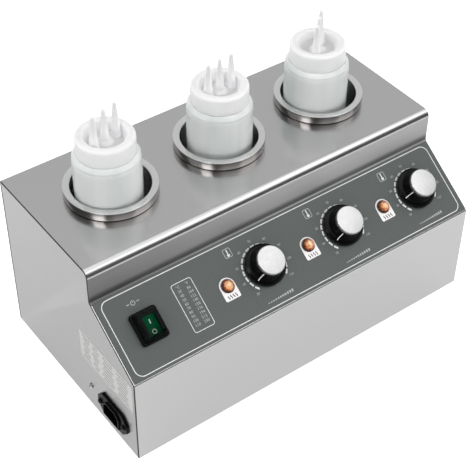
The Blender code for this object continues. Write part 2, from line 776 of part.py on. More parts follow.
def heater_mesh():
    """A split band round the lower part of the cup, with two clamping ears at the split."""
    inner = WELL_RADIUS + CUP_WALL + FIT_GAP
    outer = inner + HEATER_THICKNESS
    low = WELL_FLOOR - CUP_WALL + HEATER_LIFT
    high = low + HEATER_HEIGHT
    band = turned([(outer, high), (outer, low), (inner, low), (inner, high)], WELL_STEPS, closed=True)
    middle = (low + high) / 2
    reach = HEATER_EAR_LENGTH + HEATER_THICKNESS / 2
    ears = block(
        (HEATER_SLIT + 2 * HEATER_THICKNESS, reach, HEATER_EAR_HEIGHT),
        (0, -(inner + HEATER_THICKNESS / 2 + reach / 2), middle),
    )
    slit = block(
        (HEATER_SLIT, reach + HEATER_THICKNESS + 2 * CUT_OVERRUN, HEATER_HEIGHT + 2 * CUT_OVERRUN),
        (0, -(inner + reach / 2), middle),
    )
    return assembled(band, [("UNION", ears), ("DIFFERENCE", slit)])


def wells():
    cup = turned(well_cup_profile(), WELL_STEPS)
    collar = turned(collar_profile(), WELL_STEPS, closed=True)
    heater = heater_mesh()
    shade(cup)
    shade(collar)
    shade(heater)
    for number, side in enumerate(CONTROLS, 1):
        spot = (side * WELL_PITCH, WELL_Y, 0)
        place(f"well_cup_{number}", cup, BRUSHED, None, spot)
        place(f"well_collar_{number}", collar, POLISHED, None, spot)
        place(f"band_heater_{number}", heater, HEATER_METAL, None, spot)


# Bottles

def bottle_profile():
    """Inside from the floor up to the neck, then down the outside to the foot."""
    inner = BOTTLE_RADIUS - BOTTLE_WALL
    neck_in = NECK_RADIUS - BOTTLE_WALL
    ring = BOTTLE_RADIUS - BOTTLE_FOOT_ROUND
    dome = ring - BOTTLE_FOOT_RING
    step = BOTTLE_WALL / 2
    return [
        (0, BOTTLE_PUSH_UP + BOTTLE_WALL),
        (dome, BOTTLE_PUSH_UP + BOTTLE_WALL),
        (ring, BOTTLE_WALL),
        (inner, BOTTLE_FOOT_ROUND),
        (inner, SHOULDER_START),
        (SHOULDER_MID_RADIUS - BOTTLE_WALL, SHOULDER_MID),
        (neck_in, SHOULDER_TOP - BOTTLE_WALL),
        (neck_in, NECK_TOP),
        (NECK_RADIUS, NECK_TOP),
        (NECK_RADIUS, SHOULDER_TOP),
        (SHOULDER_TOP_RADIUS, SHOULDER_TOP),
        (BEAD_RADIUS - step, BEAD_HEIGHT + step),
        (BEAD_RADIUS, BEAD_HEIGHT),
        (SHOULDER_MID_RADIUS, SHOULDER_MID),
        (BOTTLE_RADIUS, SHOULDER_START),
        (BOTTLE_RADIUS, BOTTLE_FOOT_ROUND),
        (ring, 0),
        (dome, 0),
        (dome - BOTTLE_PUSH_UP, BOTTLE_PUSH_UP),
        (0, BOTTLE_PUSH_UP),
    ]


def cap_profile():
    """From the mound in the dish out over the rim, down the skirt and back under the dish."""
    inner = CAP_RADIUS - CAP_WALL
    top = CAP_HEIGHT
    floor = CAP_HEIGHT - DISH_DEPTH
    under = floor - CAP_WALL
    return [
        (0, floor + MOUND_HEIGHT),
        (MOUND_RADIUS / 2, floor + MOUND_HEIGHT),
        (MOUND_RADIUS, floor),
        (DISH_FLOOR_RADIUS, floor),
        (DISH_RADIUS, top - CAP_EDGE / 2),
        (DISH_RADIUS + CAP_EDGE, top),
        (CAP_RADIUS - CAP_EDGE, top),
        (CAP_RADIUS, top - CAP_EDGE),
        (CAP_RADIUS, 0),
        (inner, 0),
        (inner, top - 2 * CAP_WALL),
        (DISH_RADIUS + CAP_WALL, top - 2 * CAP_WALL),
        (DISH_FLOOR_RADIUS + CAP_WALL, under),
        (0, under),
    ]


def cap_mesh():
    """The screw cap: a dished top with three tapering nozzles in a row."""
    tip = CAP_HEIGHT + NOZZLE_RISE
    base = CAP_HEIGHT - DISH_DEPTH - NOZZLE_ROOT
    bore_foot = CAP_HEIGHT - DISH_DEPTH - CAP_WALL - CUT_OVERRUN
    changes = []
    for index in CONTROLS:
        spot = (index * NOZZLE_SPACING, 0)
        changes.append(("UNION", cone(NOZZLE_BASE_RADIUS, NOZZLE_TIP_RADIUS, base, tip, NOZZLE_STEPS, spot)))
    for index in CONTROLS:
        spot = (index * NOZZLE_SPACING, 0)
        bore = cone(NOZZLE_BORE_BASE, NOZZLE_BORE_RADIUS, bore_foot, tip + FIT_GAP, NOZZLE_STEPS, spot)
        changes.append(("DIFFERENCE", bore))
    return assembled(turned(cap_profile(), BOTTLE_STEPS), changes)


def bottles():
    bottle = turned(bottle_profile(), BOTTLE_STEPS)
    cap = cap_mesh()
    shade(bottle)
    shade(cap)
    for number, side in enumerate(CONTROLS, 1):
        off_x, off_y = BOTTLE_OFFSETS[number - 1]
        turn = math.radians(NOZZLE_ROW_TURNS_DEG[number - 1])
        foot = (side * WELL_PITCH + off_x, WELL_Y + off_y, WELL_FLOOR + FIT_GAP)
        holder = place(f"bottle_{number}", bottle, BOTTLE_PLASTIC, None, foot)
        place(f"bottle_cap_{number}", cap, CAP_PLASTIC, holder, (0, 0, CAP_SEAT), turn)


# Control panel

def control_overlay():
    width = BODY_WIDTH - 2 * OVERLAY_SIDE_MARGIN
    height = SLOPE_LENGTH - OVERLAY_LOWER_MARGIN - OVERLAY_UPPER_MARGIN
    centre = (0, OVERLAY_LOWER_MARGIN + height / 2)
    outlines = [rounded(rectangle(width, height, centre), [OVERLAY_CORNER] * 4, BEND_STEPS)]
    for side in CONTROLS:
        outlines.append(circle(BUSH_RADIUS + FIT_GAP, LAMP_STEPS, (knob_x(side), KNOB_UP)))
        outlines.append(circle(LAMP_BARREL_RADIUS + FIT_GAP, LAMP_STEPS, (lamp_x(side), LAMP_UP)))
    opening = (SWITCH_BODY_WIDTH + 2 * FIT_GAP, SWITCH_BODY_LENGTH + 2 * FIT_GAP)
    outlines.append(rectangle(*opening, (SWITCH_X, SWITCH_UP)))
    place("control_overlay", plate(outlines, FIT_GAP, OVERLAY_TOP), OVERLAY, PANEL)


def thermostat_mesh():
    """A capillary thermostat: a moulded body with two blade terminals and a bush through the panel."""
    top = -SHEET - FIT_GAP
    body = block(
        (THERMOSTAT_WIDTH, THERMOSTAT_LENGTH, THERMOSTAT_DEPTH), (0, 0, top - THERMOSTAT_DEPTH / 2)
    )
    body = softened(body, THERMOSTAT_EDGE)
    changes = [("UNION", cone(BUSH_RADIUS, BUSH_RADIUS, top - THERMOSTAT_EDGE, BUSH_PROUD, LAMP_STEPS))]
    for side in (-1, 1):
        blade = block(
            (TERMINAL_WIDTH, TERMINAL_THICKNESS, TERMINAL_LENGTH + THERMOSTAT_EDGE),
            (
                side * TERMINAL_SPACING / 2,
                0,
                top - THERMOSTAT_DEPTH - (TERMINAL_LENGTH - THERMOSTAT_EDGE) / 2,
            ),
        )
        changes.append(("UNION", blade))
    bore = SHAFT_RADIUS + FIT_GAP
    hole = cone(bore, bore, -SHAFT_TAIL - FIT_GAP, BUSH_PROUD + CUT_OVERRUN, SHAFT_STEPS)
    changes.append(("DIFFERENCE", hole))
    return assembled(body, changes)


def shaft_mesh():
    """A round shaft with a flat along the length that the knob grips."""
    rod = cone(SHAFT_RADIUS, SHAFT_RADIUS, -SHAFT_TAIL, SHAFT_TIP, SHAFT_STEPS)
    low = OVERLAY_TOP + RUN_GAP
    flat = block(
        (2 * SHAFT_RADIUS + CUT_OVERRUN, SHAFT_RADIUS, SHAFT_TIP - low + CUT_OVERRUN),
        (0, 3 * SHAFT_RADIUS / 2 - SHAFT_FLAT, (SHAFT_TIP + low + CUT_OVERRUN) / 2),
    )
    return assembled(rod, [("DIFFERENCE", flat)])


def knob_profile():
    """The black grip over a wide skirt, hollow under the skirt, with a blind bore for the shaft."""
    base = OVERLAY_TOP + RUN_GAP
    top = base + GRIP_HEIGHT
    bore = SHAFT_RADIUS + FIT_GAP
    bore_top = SHAFT_TIP + FIT_GAP
    seat = KNOB_CAP_RADIUS - KNOB_CAP_THICKNESS - FIT_GAP
    return [
        (0, top + KNOB_CAP_SKIRT - KNOB_CAP_THICKNESS - FIT_GAP),
        (seat, top + KNOB_CAP_SKIRT - KNOB_CAP_THICKNESS - FIT_GAP),
        (seat, top),
        (GRIP_TOP_RADIUS, top),
        (GRIP_BASE_RADIUS, base + SKIRT_SLOPE_HEIGHT),
        (SKIRT_SLOPE_RADIUS, base + SKIRT_SLOPE_HEIGHT),
        (SKIRT_RADIUS, base + SKIRT_HEIGHT),
        (SKIRT_RADIUS, base),
        (SKIRT_RADIUS - KNOB_RIM_WALL, base),
        (SKIRT_SLOPE_RADIUS - KNOB_RIM_WALL, base + KNOB_HOLLOW_DEPTH),
        (KNOB_HUB_RADIUS, base + KNOB_HOLLOW_DEPTH),
        (KNOB_HUB_RADIUS, base),
        (bore, base),
        (bore, bore_top),
        (0, bore_top),
    ]


def knob_cap_profile():
    low = OVERLAY_TOP + RUN_GAP + GRIP_HEIGHT + FIT_GAP
    high = low + KNOB_CAP_SKIRT
    inner = KNOB_CAP_RADIUS - KNOB_CAP_THICKNESS
    return [
        (0, high),
        (KNOB_CAP_RADIUS - KNOB_CAP_CHAMFER, high),
        (KNOB_CAP_RADIUS, high - KNOB_CAP_CHAMFER),
        (KNOB_CAP_RADIUS, low),
        (inner, low),
        (inner, high - KNOB_CAP_THICKNESS),
        (0, high - KNOB_CAP_THICKNESS),
    ]


def thermostats_and_knobs():
    body = thermostat_mesh()
    shaft = shaft_mesh()
    knob = turned(knob_profile(), KNOB_STEPS)
    cap = turned(knob_cap_profile(), KNOB_STEPS)
    for mesh in (body, shaft, knob, cap):
        shade(mesh)
    for number, side in enumerate(CONTROLS, 1):
        spot = (knob_x(side), KNOB_UP, 0)
        place(f"thermostat_{number}", body, PHENOLIC, PANEL, spot)
        turn = math.radians(KNOB_TURNS_DEG[number - 1])
        place(f"thermostat_shaft_{number}", shaft, PLATED, PANEL, spot, turn)
        place(f"knob_{number}", knob, BLACK_PLASTIC, PANEL, spot, turn)
        place(f"knob_cap_{number}", cap, SPUN, PANEL, spot, turn)


def lamps():
    seat = OVERLAY_TOP + FIT_GAP
    bore = LAMP_BARREL_RADIUS - LAMP_BARREL_WALL
    housing = turned(
        [
            (LAMP_FLANGE_RADIUS, seat + LAMP_FLANGE_THICKNESS),
            (LAMP_FLANGE_RADIUS, seat),
            (LAMP_BARREL_RADIUS, seat),
            (LAMP_BARREL_RADIUS, -LAMP_LENGTH),
            (bore, -LAMP_LENGTH),
            (bore, seat + LAMP_FLANGE_THICKNESS),
        ],
        LAMP_STEPS,
        closed=True,
    )
    low = seat + LAMP_FLANGE_THICKNESS + FIT_GAP
    lens = turned(
        [
            (0, low + LENS_RIM + LENS_RISE),
            (LENS_RADIUS / 2, low + LENS_RIM + LENS_RISE),
            (LENS_RADIUS - FIT_GAP, low + LENS_RIM),
            (LENS_RADIUS, low),
            (LENS_PLUG_RADIUS, low),
            (LENS_PLUG_RADIUS, low - LENS_PLUG_LENGTH),
            (0, low - LENS_PLUG_LENGTH),
        ],
        LENS_FACETS,
    )
    shade(housing)
    for number, side in enumerate(CONTROLS, 1):
        spot = (lamp_x(side), LAMP_UP, 0)
        place(f"lamp_housing_{number}", housing, LAMP_METAL, PANEL, spot)
        place(f"lamp_lens_{number}", lens, AMBER, PANEL, spot)


def power_switch():
    """A frame with its body behind the panel, a rocker tipped to off, and a clear boot over it."""
    seat = OVERLAY_TOP + FIT_GAP
    top = seat + SWITCH_FLANGE_HEIGHT
    corners = [SWITCH_FLANGE_CORNER] * 4
    flange = plate(
        [rounded(rectangle(SWITCH_FLANGE_WIDTH, SWITCH_FLANGE_LENGTH), corners, BEND_STEPS)], seat, top
    )
    flange = softened(flange, FIT_GAP + BOOT_LIP / 2)
    body = plate([rectangle(SWITCH_BODY_WIDTH, SWITCH_BODY_LENGTH)], -SWITCH_BODY_DEPTH, seat + SHEET)
    well = plate(
        [rectangle(SWITCH_WELL_WIDTH, SWITCH_WELL_LENGTH)], -SWITCH_WELL_DEPTH, top + CUT_OVERRUN
    )
    frame = assembled(flange, [("UNION", body), ("DIFFERENCE", well)])
    spot = (SWITCH_X, SWITCH_UP, 0)
    place("switch_frame", frame, BLACK_PLASTIC, PANEL, spot)

    rake = math.radians(ROCKER_RAKE_DEG)
    half = ROCKER_LENGTH / 2
    edge = half - ROCKER_END_LEAN
    end_top = ROCKER_TOP + edge * math.tan(rake)
    side_view = [
        (-half, 0), (-edge, end_top), (0, ROCKER_TOP), (edge, end_top), (half, 0), (0, -ROCKER_KEEL),
    ]
    rocker = plate([side_view[::-1]], -ROCKER_WIDTH / 2, ROCKER_WIDTH / 2)
    # The side view lies in the plate's own X and Y: turn it up to stand across the panel
    rocker.transform(Matrix.Rotation(math.pi / 2, 4, "Y") @ Matrix.Rotation(math.pi / 2, 4, "Z"))
    rocker = softened(rocker, FIT_GAP)
    tipped = place("switch_rocker", rocker, GREEN, PANEL, (SWITCH_X, SWITCH_UP, ROCKER_PIVOT))
    tipped.rotation_euler = (rake, 0, 0)

    width = SWITCH_FLANGE_WIDTH - 2 * BOOT_LIP
    length = SWITCH_FLANGE_LENGTH - 2 * BOOT_LIP
    low = top + FIT_GAP
    shell = tapered_block(width, length, BOOT_DRAFT, low, low + BOOT_HEIGHT)
    shell = softened(shell, BOOT_EDGE, 2)
    hollow = tapered_block(
        width - 2 * BOOT_WALL, length - 2 * BOOT_WALL, BOOT_DRAFT, low - CUT_OVERRUN, low + BOOT_HEIGHT - BOOT_WALL
    )
    boot = assembled(shell, [("DIFFERENCE", hollow)])
    shade(boot)
    place("switch_boot", boot, CLEAR, PANEL, spot)


def tapered_block(width, length, draft, low, high):
    """A block whose upper face is drawn in by the draft on each side."""
    mesh = block((width, length, high - low), (0, 0, (low + high) / 2))
    for vertex in mesh.vertices:
        if vertex.co.z > (low + high) / 2:
            vertex.co.x -= math.copysign(draft, vertex.co.x)
            vertex.co.y -= math.copysign(draft, vertex.co.y)
    return mesh


# Mains inlet

def inlet_opening(grow=0.0):
    """The socket's outline with its two upper corners cut off, grown outwards by a wall."""
    length = INLET_OPENING_LENGTH / 2 + grow
    width = INLET_OPENING_WIDTH / 2 + grow
    cut = INLET_CHAMFER + grow / 2
    return [
        (-length, -width), (length, -width), (length, width - cut),
        (length - cut, width), (-length + cut, width), (-length, width - cut),
    ]


def pin_spots():
    return [
        ("line", -PIN_SPACING, -PIN_EARTH_RISE),
        ("earth", 0, PIN_EARTH_RISE),
        ("neutral", PIN_SPACING, -PIN_EARTH_RISE),
    ]


def mains_inlet():
    tip = INLET_FLANGE_LENGTH / 2
    half = INLET_FLANGE_WIDTH / 2
    end = INLET_FLANGE_TIP / 2
    flat = INLET_SCREW_PITCH / 2 - SCREW_HEAD_RADIUS
    hexagon = [
        (-tip, -end), (-flat, -half), (flat, -half), (tip, -end), (tip, end), (flat, half), (-flat, half), (-tip, end),
    ]
    flange = plate([hexagon], FIT_GAP, INLET_FLANGE_THICKNESS)
    back = -INLET_DEPTH - INLET_BACK
    shroud = plate([inlet_opening(INLET_WALL)], back, INLET_RIM)
    cavity = plate([inlet_opening()], -INLET_DEPTH, INLET_RIM + CUT_OVERRUN)
    changes = [("UNION", shroud), ("DIFFERENCE", cavity)]
    for _, x, y in pin_spots():
        slot = rectangle(PIN_WIDTH + 2 * FIT_GAP, PIN_HEIGHT + 2 * FIT_GAP, (x, y))
        changes.append(("DIFFERENCE", plate([slot], back - CUT_OVERRUN, -INLET_DEPTH + CUT_OVERRUN)))
    for side in (-1, 1):
        spot = (side * INLET_SCREW_PITCH / 2, 0)
        hole = cone(SCREW_HOLE_RADIUS, SCREW_HOLE_RADIUS, -CUT_OVERRUN, INLET_RIM, SCREW_STEPS, spot)
        changes.append(("DIFFERENCE", hole))
    socket = assembled(flange, changes)
    place("inlet_socket", socket, BLACK_NYLON, INLET)
    for name, x, y in pin_spots():
        low = back - PIN_TAIL
        high = INLET_RIM - PIN_SETBACK
        pin = block((PIN_WIDTH, PIN_HEIGHT, high - low), (x, y, (low + high) / 2))
        place(f"inlet_pin_{name}", softened(pin, FIT_GAP), PLATED, INLET)
    screw = screw_mesh(SCREW_LENGTH)
    for number, side in enumerate((-1, 1), 1):
        spot = (side * INLET_SCREW_PITCH / 2, 0, INLET_FLANGE_THICKNESS + FIT_GAP)
        place(f"inlet_screw_{number}", screw, BLACKENED, INLET, spot)


def earth_bond():
    """The bonding screw behind the inlet, with its nut inside the housing."""
    side = (INLET_SETBACK - EARTH_SCREW_SETBACK, EARTH_SCREW_UP - INLET_UP, FIT_GAP)
    place("earth_screw", screw_mesh(SCREW_LENGTH), PLATED, INLET, side)
    hexagon = circle(NUT_RADIUS, 6)
    hole = circle(SCREW_HOLE_RADIUS, SCREW_STEPS)
    low = -SHEET - FIT_GAP - NUT_HEIGHT
    nut = plate([hexagon, hole], low, low + NUT_HEIGHT)
    place("earth_nut", nut, PLATED, INLET, (side[0], side[1], 0))


def inlet_side_cuts(panel):
    """The inlet's and the screws' openings in the left side panel."""
    bottom = -SHEET - CUT_OVERRUN
    opening = plate([inlet_opening(INLET_WALL + FIT_GAP)], bottom, CUT_OVERRUN)
    boolean(panel, helper("inlet_cutter", opening, (0, 0, 0), INLET))
    spots = [(side * INLET_SCREW_PITCH / 2, 0) for side in (-1, 1)]
    spots.append((INLET_SETBACK - EARTH_SCREW_SETBACK, EARTH_SCREW_UP - INLET_UP))
    for spot in spots:
        hole = cone(SCREW_HOLE_RADIUS, SCREW_HOLE_RADIUS, bottom, CUT_OVERRUN, SCREW_STEPS)
        boolean(panel, helper("screw_cutter", hole, (*spot, 0), INLET))


def terminal_block():
    """A stepped strip of screw terminals on the base plate."""
    spot = (BLOCK_X_SHARE * BODY_WIDTH, BLOCK_Y_SHARE * BODY_DEPTH, FOOT_HEIGHT + SHEET + FIT_GAP)
    body = block((BLOCK_LENGTH, BLOCK_WIDTH, BLOCK_HEIGHT - BLOCK_STEP), (0, 0, (BLOCK_HEIGHT - BLOCK_STEP) / 2))
    ridge = block((BLOCK_LENGTH, BLOCK_WIDTH / 2, BLOCK_HEIGHT), (0, 0, BLOCK_HEIGHT / 2))
    changes = [("UNION", ridge)]
    pitch = BLOCK_LENGTH / BLOCK_WAYS
    for way in range(BLOCK_WAYS):
        centre = ((way - (BLOCK_WAYS - 1) / 2) * pitch, 0)
        hole = cone(
            BLOCK_HOLE_RADIUS, BLOCK_HOLE_RADIUS, BLOCK_HEIGHT - BLOCK_HOLE_DEPTH, BLOCK_HEIGHT + CUT_OVERRUN,
            SCREW_STEPS, centre,
        )
        changes.append(("DIFFERENCE", hole))
    place("terminal_block", assembled(body, changes), WHITE_MOULDING, None, spot)


wrap_cover()
left_panel = side_panel("left_side_panel", -1)
inlet_side_cuts(left_panel)
side_panel("right_side_panel", 1)
base_plate()
rubber_feet()
base_screws()
wells()
bottles()
control_overlay()
thermostats_and_knobs()
lamps()
power_switch()
mains_inlet()
earth_bond()
terminal_block()
bpy.context.view_layer.update()
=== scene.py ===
import math
import bmesh
import bpy
import numpy as np
from mathutils import Matrix, Vector


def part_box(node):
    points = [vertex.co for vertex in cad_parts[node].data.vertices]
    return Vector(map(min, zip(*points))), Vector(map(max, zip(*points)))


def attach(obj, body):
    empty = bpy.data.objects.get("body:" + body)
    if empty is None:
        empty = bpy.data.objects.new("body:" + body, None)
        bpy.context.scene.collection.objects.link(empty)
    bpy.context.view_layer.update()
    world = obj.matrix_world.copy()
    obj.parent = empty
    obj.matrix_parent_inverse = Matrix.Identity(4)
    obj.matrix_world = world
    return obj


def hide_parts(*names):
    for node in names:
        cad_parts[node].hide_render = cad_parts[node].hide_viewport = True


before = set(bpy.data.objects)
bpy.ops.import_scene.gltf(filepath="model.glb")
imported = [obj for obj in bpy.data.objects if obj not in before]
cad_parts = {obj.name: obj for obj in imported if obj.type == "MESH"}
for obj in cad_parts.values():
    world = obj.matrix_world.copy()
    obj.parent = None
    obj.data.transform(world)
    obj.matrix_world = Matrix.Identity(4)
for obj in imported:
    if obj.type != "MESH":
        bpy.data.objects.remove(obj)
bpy.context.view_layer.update()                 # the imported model: bodies, nodes, joints, record
print("frame loaded")

# every length in this file is in metres
mergeDistance = 2e-6              # points closer than this become one
fitGap = 0.0003                   # between pieces that fit together or sit on each other
punchSpan = (-0.004, 0.003)       # how far the tools that hole a sheet reach under and over it


# Nodes and materials

def colour(hexCode):
    # sRGB hex to the linear values that Blender's sockets take
    shares = np.array([int(hexCode[i:i + 2], 16) / 255 for i in (1, 3, 5)])
    linear = np.where(shares <= 0.04045, shares / 12.92, ((shares + 0.055) / 1.055) ** 2.4)
    return (*linear.tolist(), 1.0)


def addNode(tree, kind, inputs=None, stops=None, **settings):
    # kind is Blender's name of the node without its first word. Inputs that are sockets are linked,
    # and the others, hex colours too, are set on the node's own sockets. Stops fill a ramp: each is a
    # place between 0 and 1 and a hex colour or a level
    node = tree.nodes.new("ShaderNode" + kind)
    for name, value in settings.items():
        setattr(node, name, value)
    for name, value in (inputs or {}).items():
        if isinstance(value, bpy.types.NodeSocket):
            tree.links.new(value, node.inputs[name])
        else:
            node.inputs[name].default_value = colour(value) if isinstance(value, str) else value
    if stops:
        marks = node.color_ramp.elements
        marks[0].position, marks[1].position = stops[0][0], stops[-1][0]
        for at, _ in stops[1:-1]:
            marks.new(at)
        for mark, (_, tint) in zip(marks, stops):
            mark.color = colour(tint) if isinstance(tint, str) else (tint, tint, tint, 1)
    return node


def newMaterial(name, look):
    # a material with one Principled shader, whose sockets are given by name
    material = bpy.data.materials.new(name)
    material.use_nodes = True
    tree = material.node_tree
    tree.nodes.clear()
    surface = addNode(tree, "BsdfPrincipled", look)
    addNode(tree, "OutputMaterial", {"Surface": surface.outputs["BSDF"]})
    return material, tree, surface


def addPattern(tree, surface, cycles, spread, height=None, tints=None, detail=2.0):
    # one noise on Object coordinates, in cycles a metre, along each axis or the same along all: it
    # moves the roughness inside spread, lifts the surface by height and mixes between two tints
    place = addNode(tree, "TexCoord")
    mapping = addNode(tree, "Mapping", {
        "Vector": place.outputs["Object"], "Scale": np.broadcast_to(cycles, 3).tolist()})
    noise = addNode(tree, "TexNoise", {
        "Vector": mapping.outputs["Vector"], "Scale": 1.0, "Detail": detail})
    value = noise.outputs["Fac"]
    ranged = addNode(tree, "MapRange", {
        "Value": value, "From Min": 0.3, "From Max": 0.7, "To Min": spread[0], "To Max": spread[1]})
    tree.links.new(ranged.outputs["Result"], surface.inputs["Roughness"])
    if height:
        bump = addNode(tree, "Bump", {"Height": value, "Distance": height, "Strength": 1.0})
        tree.links.new(bump.outputs["Normal"], surface.inputs["Normal"])
    if tints:
        ramp = addNode(tree, "ValToRGB", {"Fac": value}, stops=list(zip((0.3, 0.7), tints)))
        tree.links.new(ramp.outputs["Color"], surface.inputs["Base Color"])
    return value


def patterned(name, look, cycles, spread, height=None, tints=None):
    # a material with its pattern
    material, tree, surface = newMaterial(name, look)
    addPattern(tree, surface, cycles, spread, height, tints)
    return material


# Surfaces

def gridMesh(name, points, closeRows=False, closeColumns=False, capRows=False):
    # points[row, column] joined by quads (r, c), (r+1, c), (r+1, c+1), (r, c+1); a closed direction
    # joins its last to its first. On the map "surface", u runs along the columns and v down the rows
    rows, columns = points.shape[:2]
    index = np.arange(rows * columns).reshape(rows, columns)
    index = np.vstack([index, index[:1]]) if closeRows else index
    index = np.hstack([index, index[:, :1]]) if closeColumns else index
    u, v = np.meshgrid(np.arange(index.shape[1]) / columns, np.arange(index.shape[0]) / rows)

    def quads(a):
        return np.stack([a[:-1, :-1], a[1:, :-1], a[1:, 1:], a[:-1, 1:]], -1).reshape(-1, 4)

    faces = quads(index).tolist()
    places = np.stack([quads(u), quads(v)], -1).reshape(-1, 2)
    if capRows:
        faces += [index[0, :columns].tolist(), index[-1, :columns].tolist()]
        places = np.vstack([places, np.zeros((2 * columns, 2))])
    mesh = bpy.data.meshes.new(name)
    mesh.from_pydata(points.reshape(-1, 3).tolist(), [], faces)
    mesh.uv_layers.new(name="surface").data.foreach_set("uv", places.ravel())
    return mesh


def roundedPath(corners, radii, steps, closed=True):
    # at each corner the side's right-hand normal turns evenly to the next side's, and the arc is
    # centre + radius * normal, with the centre back along the side by radius * tan(half the turn)
    corners = np.array(corners, float)
    ahead = np.roll(corners, -1, 0) - corners
    ahead /= np.linalg.norm(ahead, axis=1, keepdims=True)
    before = np.roll(ahead, 1, 0)
    turn = np.arctan2(before[:, 0] * ahead[:, 1] - before[:, 1] * ahead[:, 0], (before * ahead).sum(1))
    radius = np.broadcast_to(radii, len(corners)) * np.sign(turn)
    away = np.stack([before[:, 1], -before[:, 0]], 1)
    centre = corners - before * (radius * np.tan(turn / 2))[:, None] - away * radius[:, None]
    angle = np.arctan2(away[:, 1], away[:, 0])[:, None] + turn[:, None] * np.linspace(0, 1, steps + 1)
    normals = np.stack([np.cos(angle), np.sin(angle)], -1)
    points = centre[:, None] + normals * radius[:, None, None]
    if closed:
        return points.reshape(-1, 2), normals.reshape(-1, 2)
    first, last = [ahead[0][1], -ahead[0][0]], [ahead[-2][1], -ahead[-2][0]]
    points = np.vstack([corners[:1], points[1:-1].reshape(-1, 2), corners[-1:]])
    normals = np.vstack([[first], normals[1:-1].reshape(-1, 2), [last]])
    return points, normals


def outlineAt(corners, radii, steps, inset):
    # each side of an anticlockwise outline moves in by the inset: a corner moves along its mitre,
    # an outer arc loses the inset from its radius and a hollow one gains it
    corners = np.array(corners, float)
    sides = np.roll(corners, -1, 0) - corners
    sides /= np.linalg.norm(sides, axis=1, keepdims=True)
    last = np.roll(sides, 1, 0)
    away, awayLast = (np.stack([s[:, 1], -s[:, 0]], 1) for s in (sides, last))
    moved = corners - (away + awayLast) / (1 + (away * awayLast).sum(1))[:, None] * inset
    turn = last[:, 0] * sides[:, 1] - last[:, 1] * sides[:, 0]
    radii = np.broadcast_to(radii, len(corners))
    radii = np.where(turn > 0, np.maximum(radii - inset, 4e-5), radii + inset)
    return roundedPath(moved, radii, steps)[0]


def box(width, height, middle=(0, 0)):
    # the corners of a rectangle, anticlockwise
    sides = ((-1, -1), (1, -1), (1, 1), (-1, 1))
    return [(middle[0] + a * width / 2, middle[1] + b * height / 2) for a, b in sides]


def circle(radius, steps, middle=(0, 0)):
    # points round a circle, anticlockwise
    angle = np.linspace(0, 2 * np.pi, steps, endpoint=False)
    return np.stack([middle[0] + radius * np.cos(angle), middle[1] + radius * np.sin(angle)], 1)


def moulded(name, corners, radii, steps, profile, ring=False):
    # the outline carried up a profile of (inset, height), closed by flat ends, or a ring whose
    # profile goes round to its start
    rows = [np.insert(outlineAt(corners, radii, steps, inset), 2, level, 1) for inset, level in profile]
    return gridMesh(name, np.array(rows), closeRows=ring, closeColumns=True, capRows=not ring)


def softEdge(low, high, edge, foot=0.0):
    # a profile for moulded(): straight up from low to high, with its upper edge rounded by one
    # radius and its lower edge by the other
    corners = [(3 * edge, high), (0, high), (0, low), (3 * (foot or edge), low)]
    return roundedPath(corners, [0, edge, foot, 0], 3, closed=False)[0][::-1]


def revolved(name, profile, steps=96, closed=False, flutes=0, depth=0.0, fluted=(0, 0)):
    # (radius, height) turned about Z: x = r cos a, y = r sin a. Between the two fluted heights the
    # radius loses depth * (1 - cos(flutes * a)) / 2
    profile = np.array(profile, float)
    angle = np.linspace(0, 2 * np.pi, steps, endpoint=False)
    radius = np.repeat(profile[:, :1], steps, 1)
    if flutes:
        inside = (profile[:, 1] > fluted[0]) & (profile[:, 1] < fluted[1])
        radius -= inside[:, None] * depth * (1 - np.cos(flutes * angle)) / 2
    height = np.repeat(profile[:, 1:], steps, 1)
    points = np.stack([radius * np.cos(angle), radius * np.sin(angle), height], -1)
    return gridMesh(name, points, closeRows=closed, closeColumns=True)


def turned(name, corners, radii, steps=96, arc=4, closed=False, **flutes):
    # a turned piece whose profile corners are rounded
    return revolved(name, roundedPath(corners, radii, arc, closed)[0], steps, closed, **flutes)


def punch(radius, steps=48):
    # a closed cylinder that cuts a round hole through a sheet at height 0
    low, high = punchSpan
    return turned("punch", [(0, high), (radius, high), (radius, low), (0, low)], 0, steps)


def joined(meshes):
    # several meshes as one
    work = bmesh.new()
    for mesh in meshes:
        work.from_mesh(mesh)
    whole = bpy.data.meshes.new(meshes[0].name)
    work.to_mesh(whole)
    work.free()
    return whole


def moved(mesh, *places):
    # one mesh with a copy at each place
    copies = [mesh.copy() for _ in places]
    for copy, place in zip(copies, places):
        copy.transform(place)
    return joined(copies)


def tidied(mesh):
    # doubles merged, so that poles close, and faces turned outwards
    work = bmesh.new()
    work.from_mesh(mesh)
    bmesh.ops.remove_doubles(work, verts=work.verts, dist=mergeDistance)
    bmesh.ops.dissolve_degenerate(work, edges=work.edges, dist=mergeDistance / 4)
    bmesh.ops.recalc_face_normals(work, faces=work.faces)
    work.to_mesh(mesh)
    work.free()
    return mesh


def combined(mesh, *changes):
    # the mesh with closed others cut from it or joined to it in turn, by exact boolean
    scene = bpy.context.scene.collection
    objects = [bpy.data.objects.new("work", tidied(mesh))]
    for operation, other in changes:
        objects.append(bpy.data.objects.new("tool", tidied(other)))
        change = objects[0].modifiers.new("change", "BOOLEAN")
        change.operation, change.solver, change.object = operation, "EXACT", objects[-1]
    for made in objects:
        scene.objects.link(made)
    graph = bpy.context.evaluated_depsgraph_get()
    result = bpy.data.meshes.new_from_object(objects[0].evaluated_get(graph))
    for made in objects:
        bpy.data.objects.remove(made)
    return result


def cutBy(mesh, tools):
    # the mesh less each of the tools
    return combined(mesh, *[("DIFFERENCE", tool) for tool in tools])


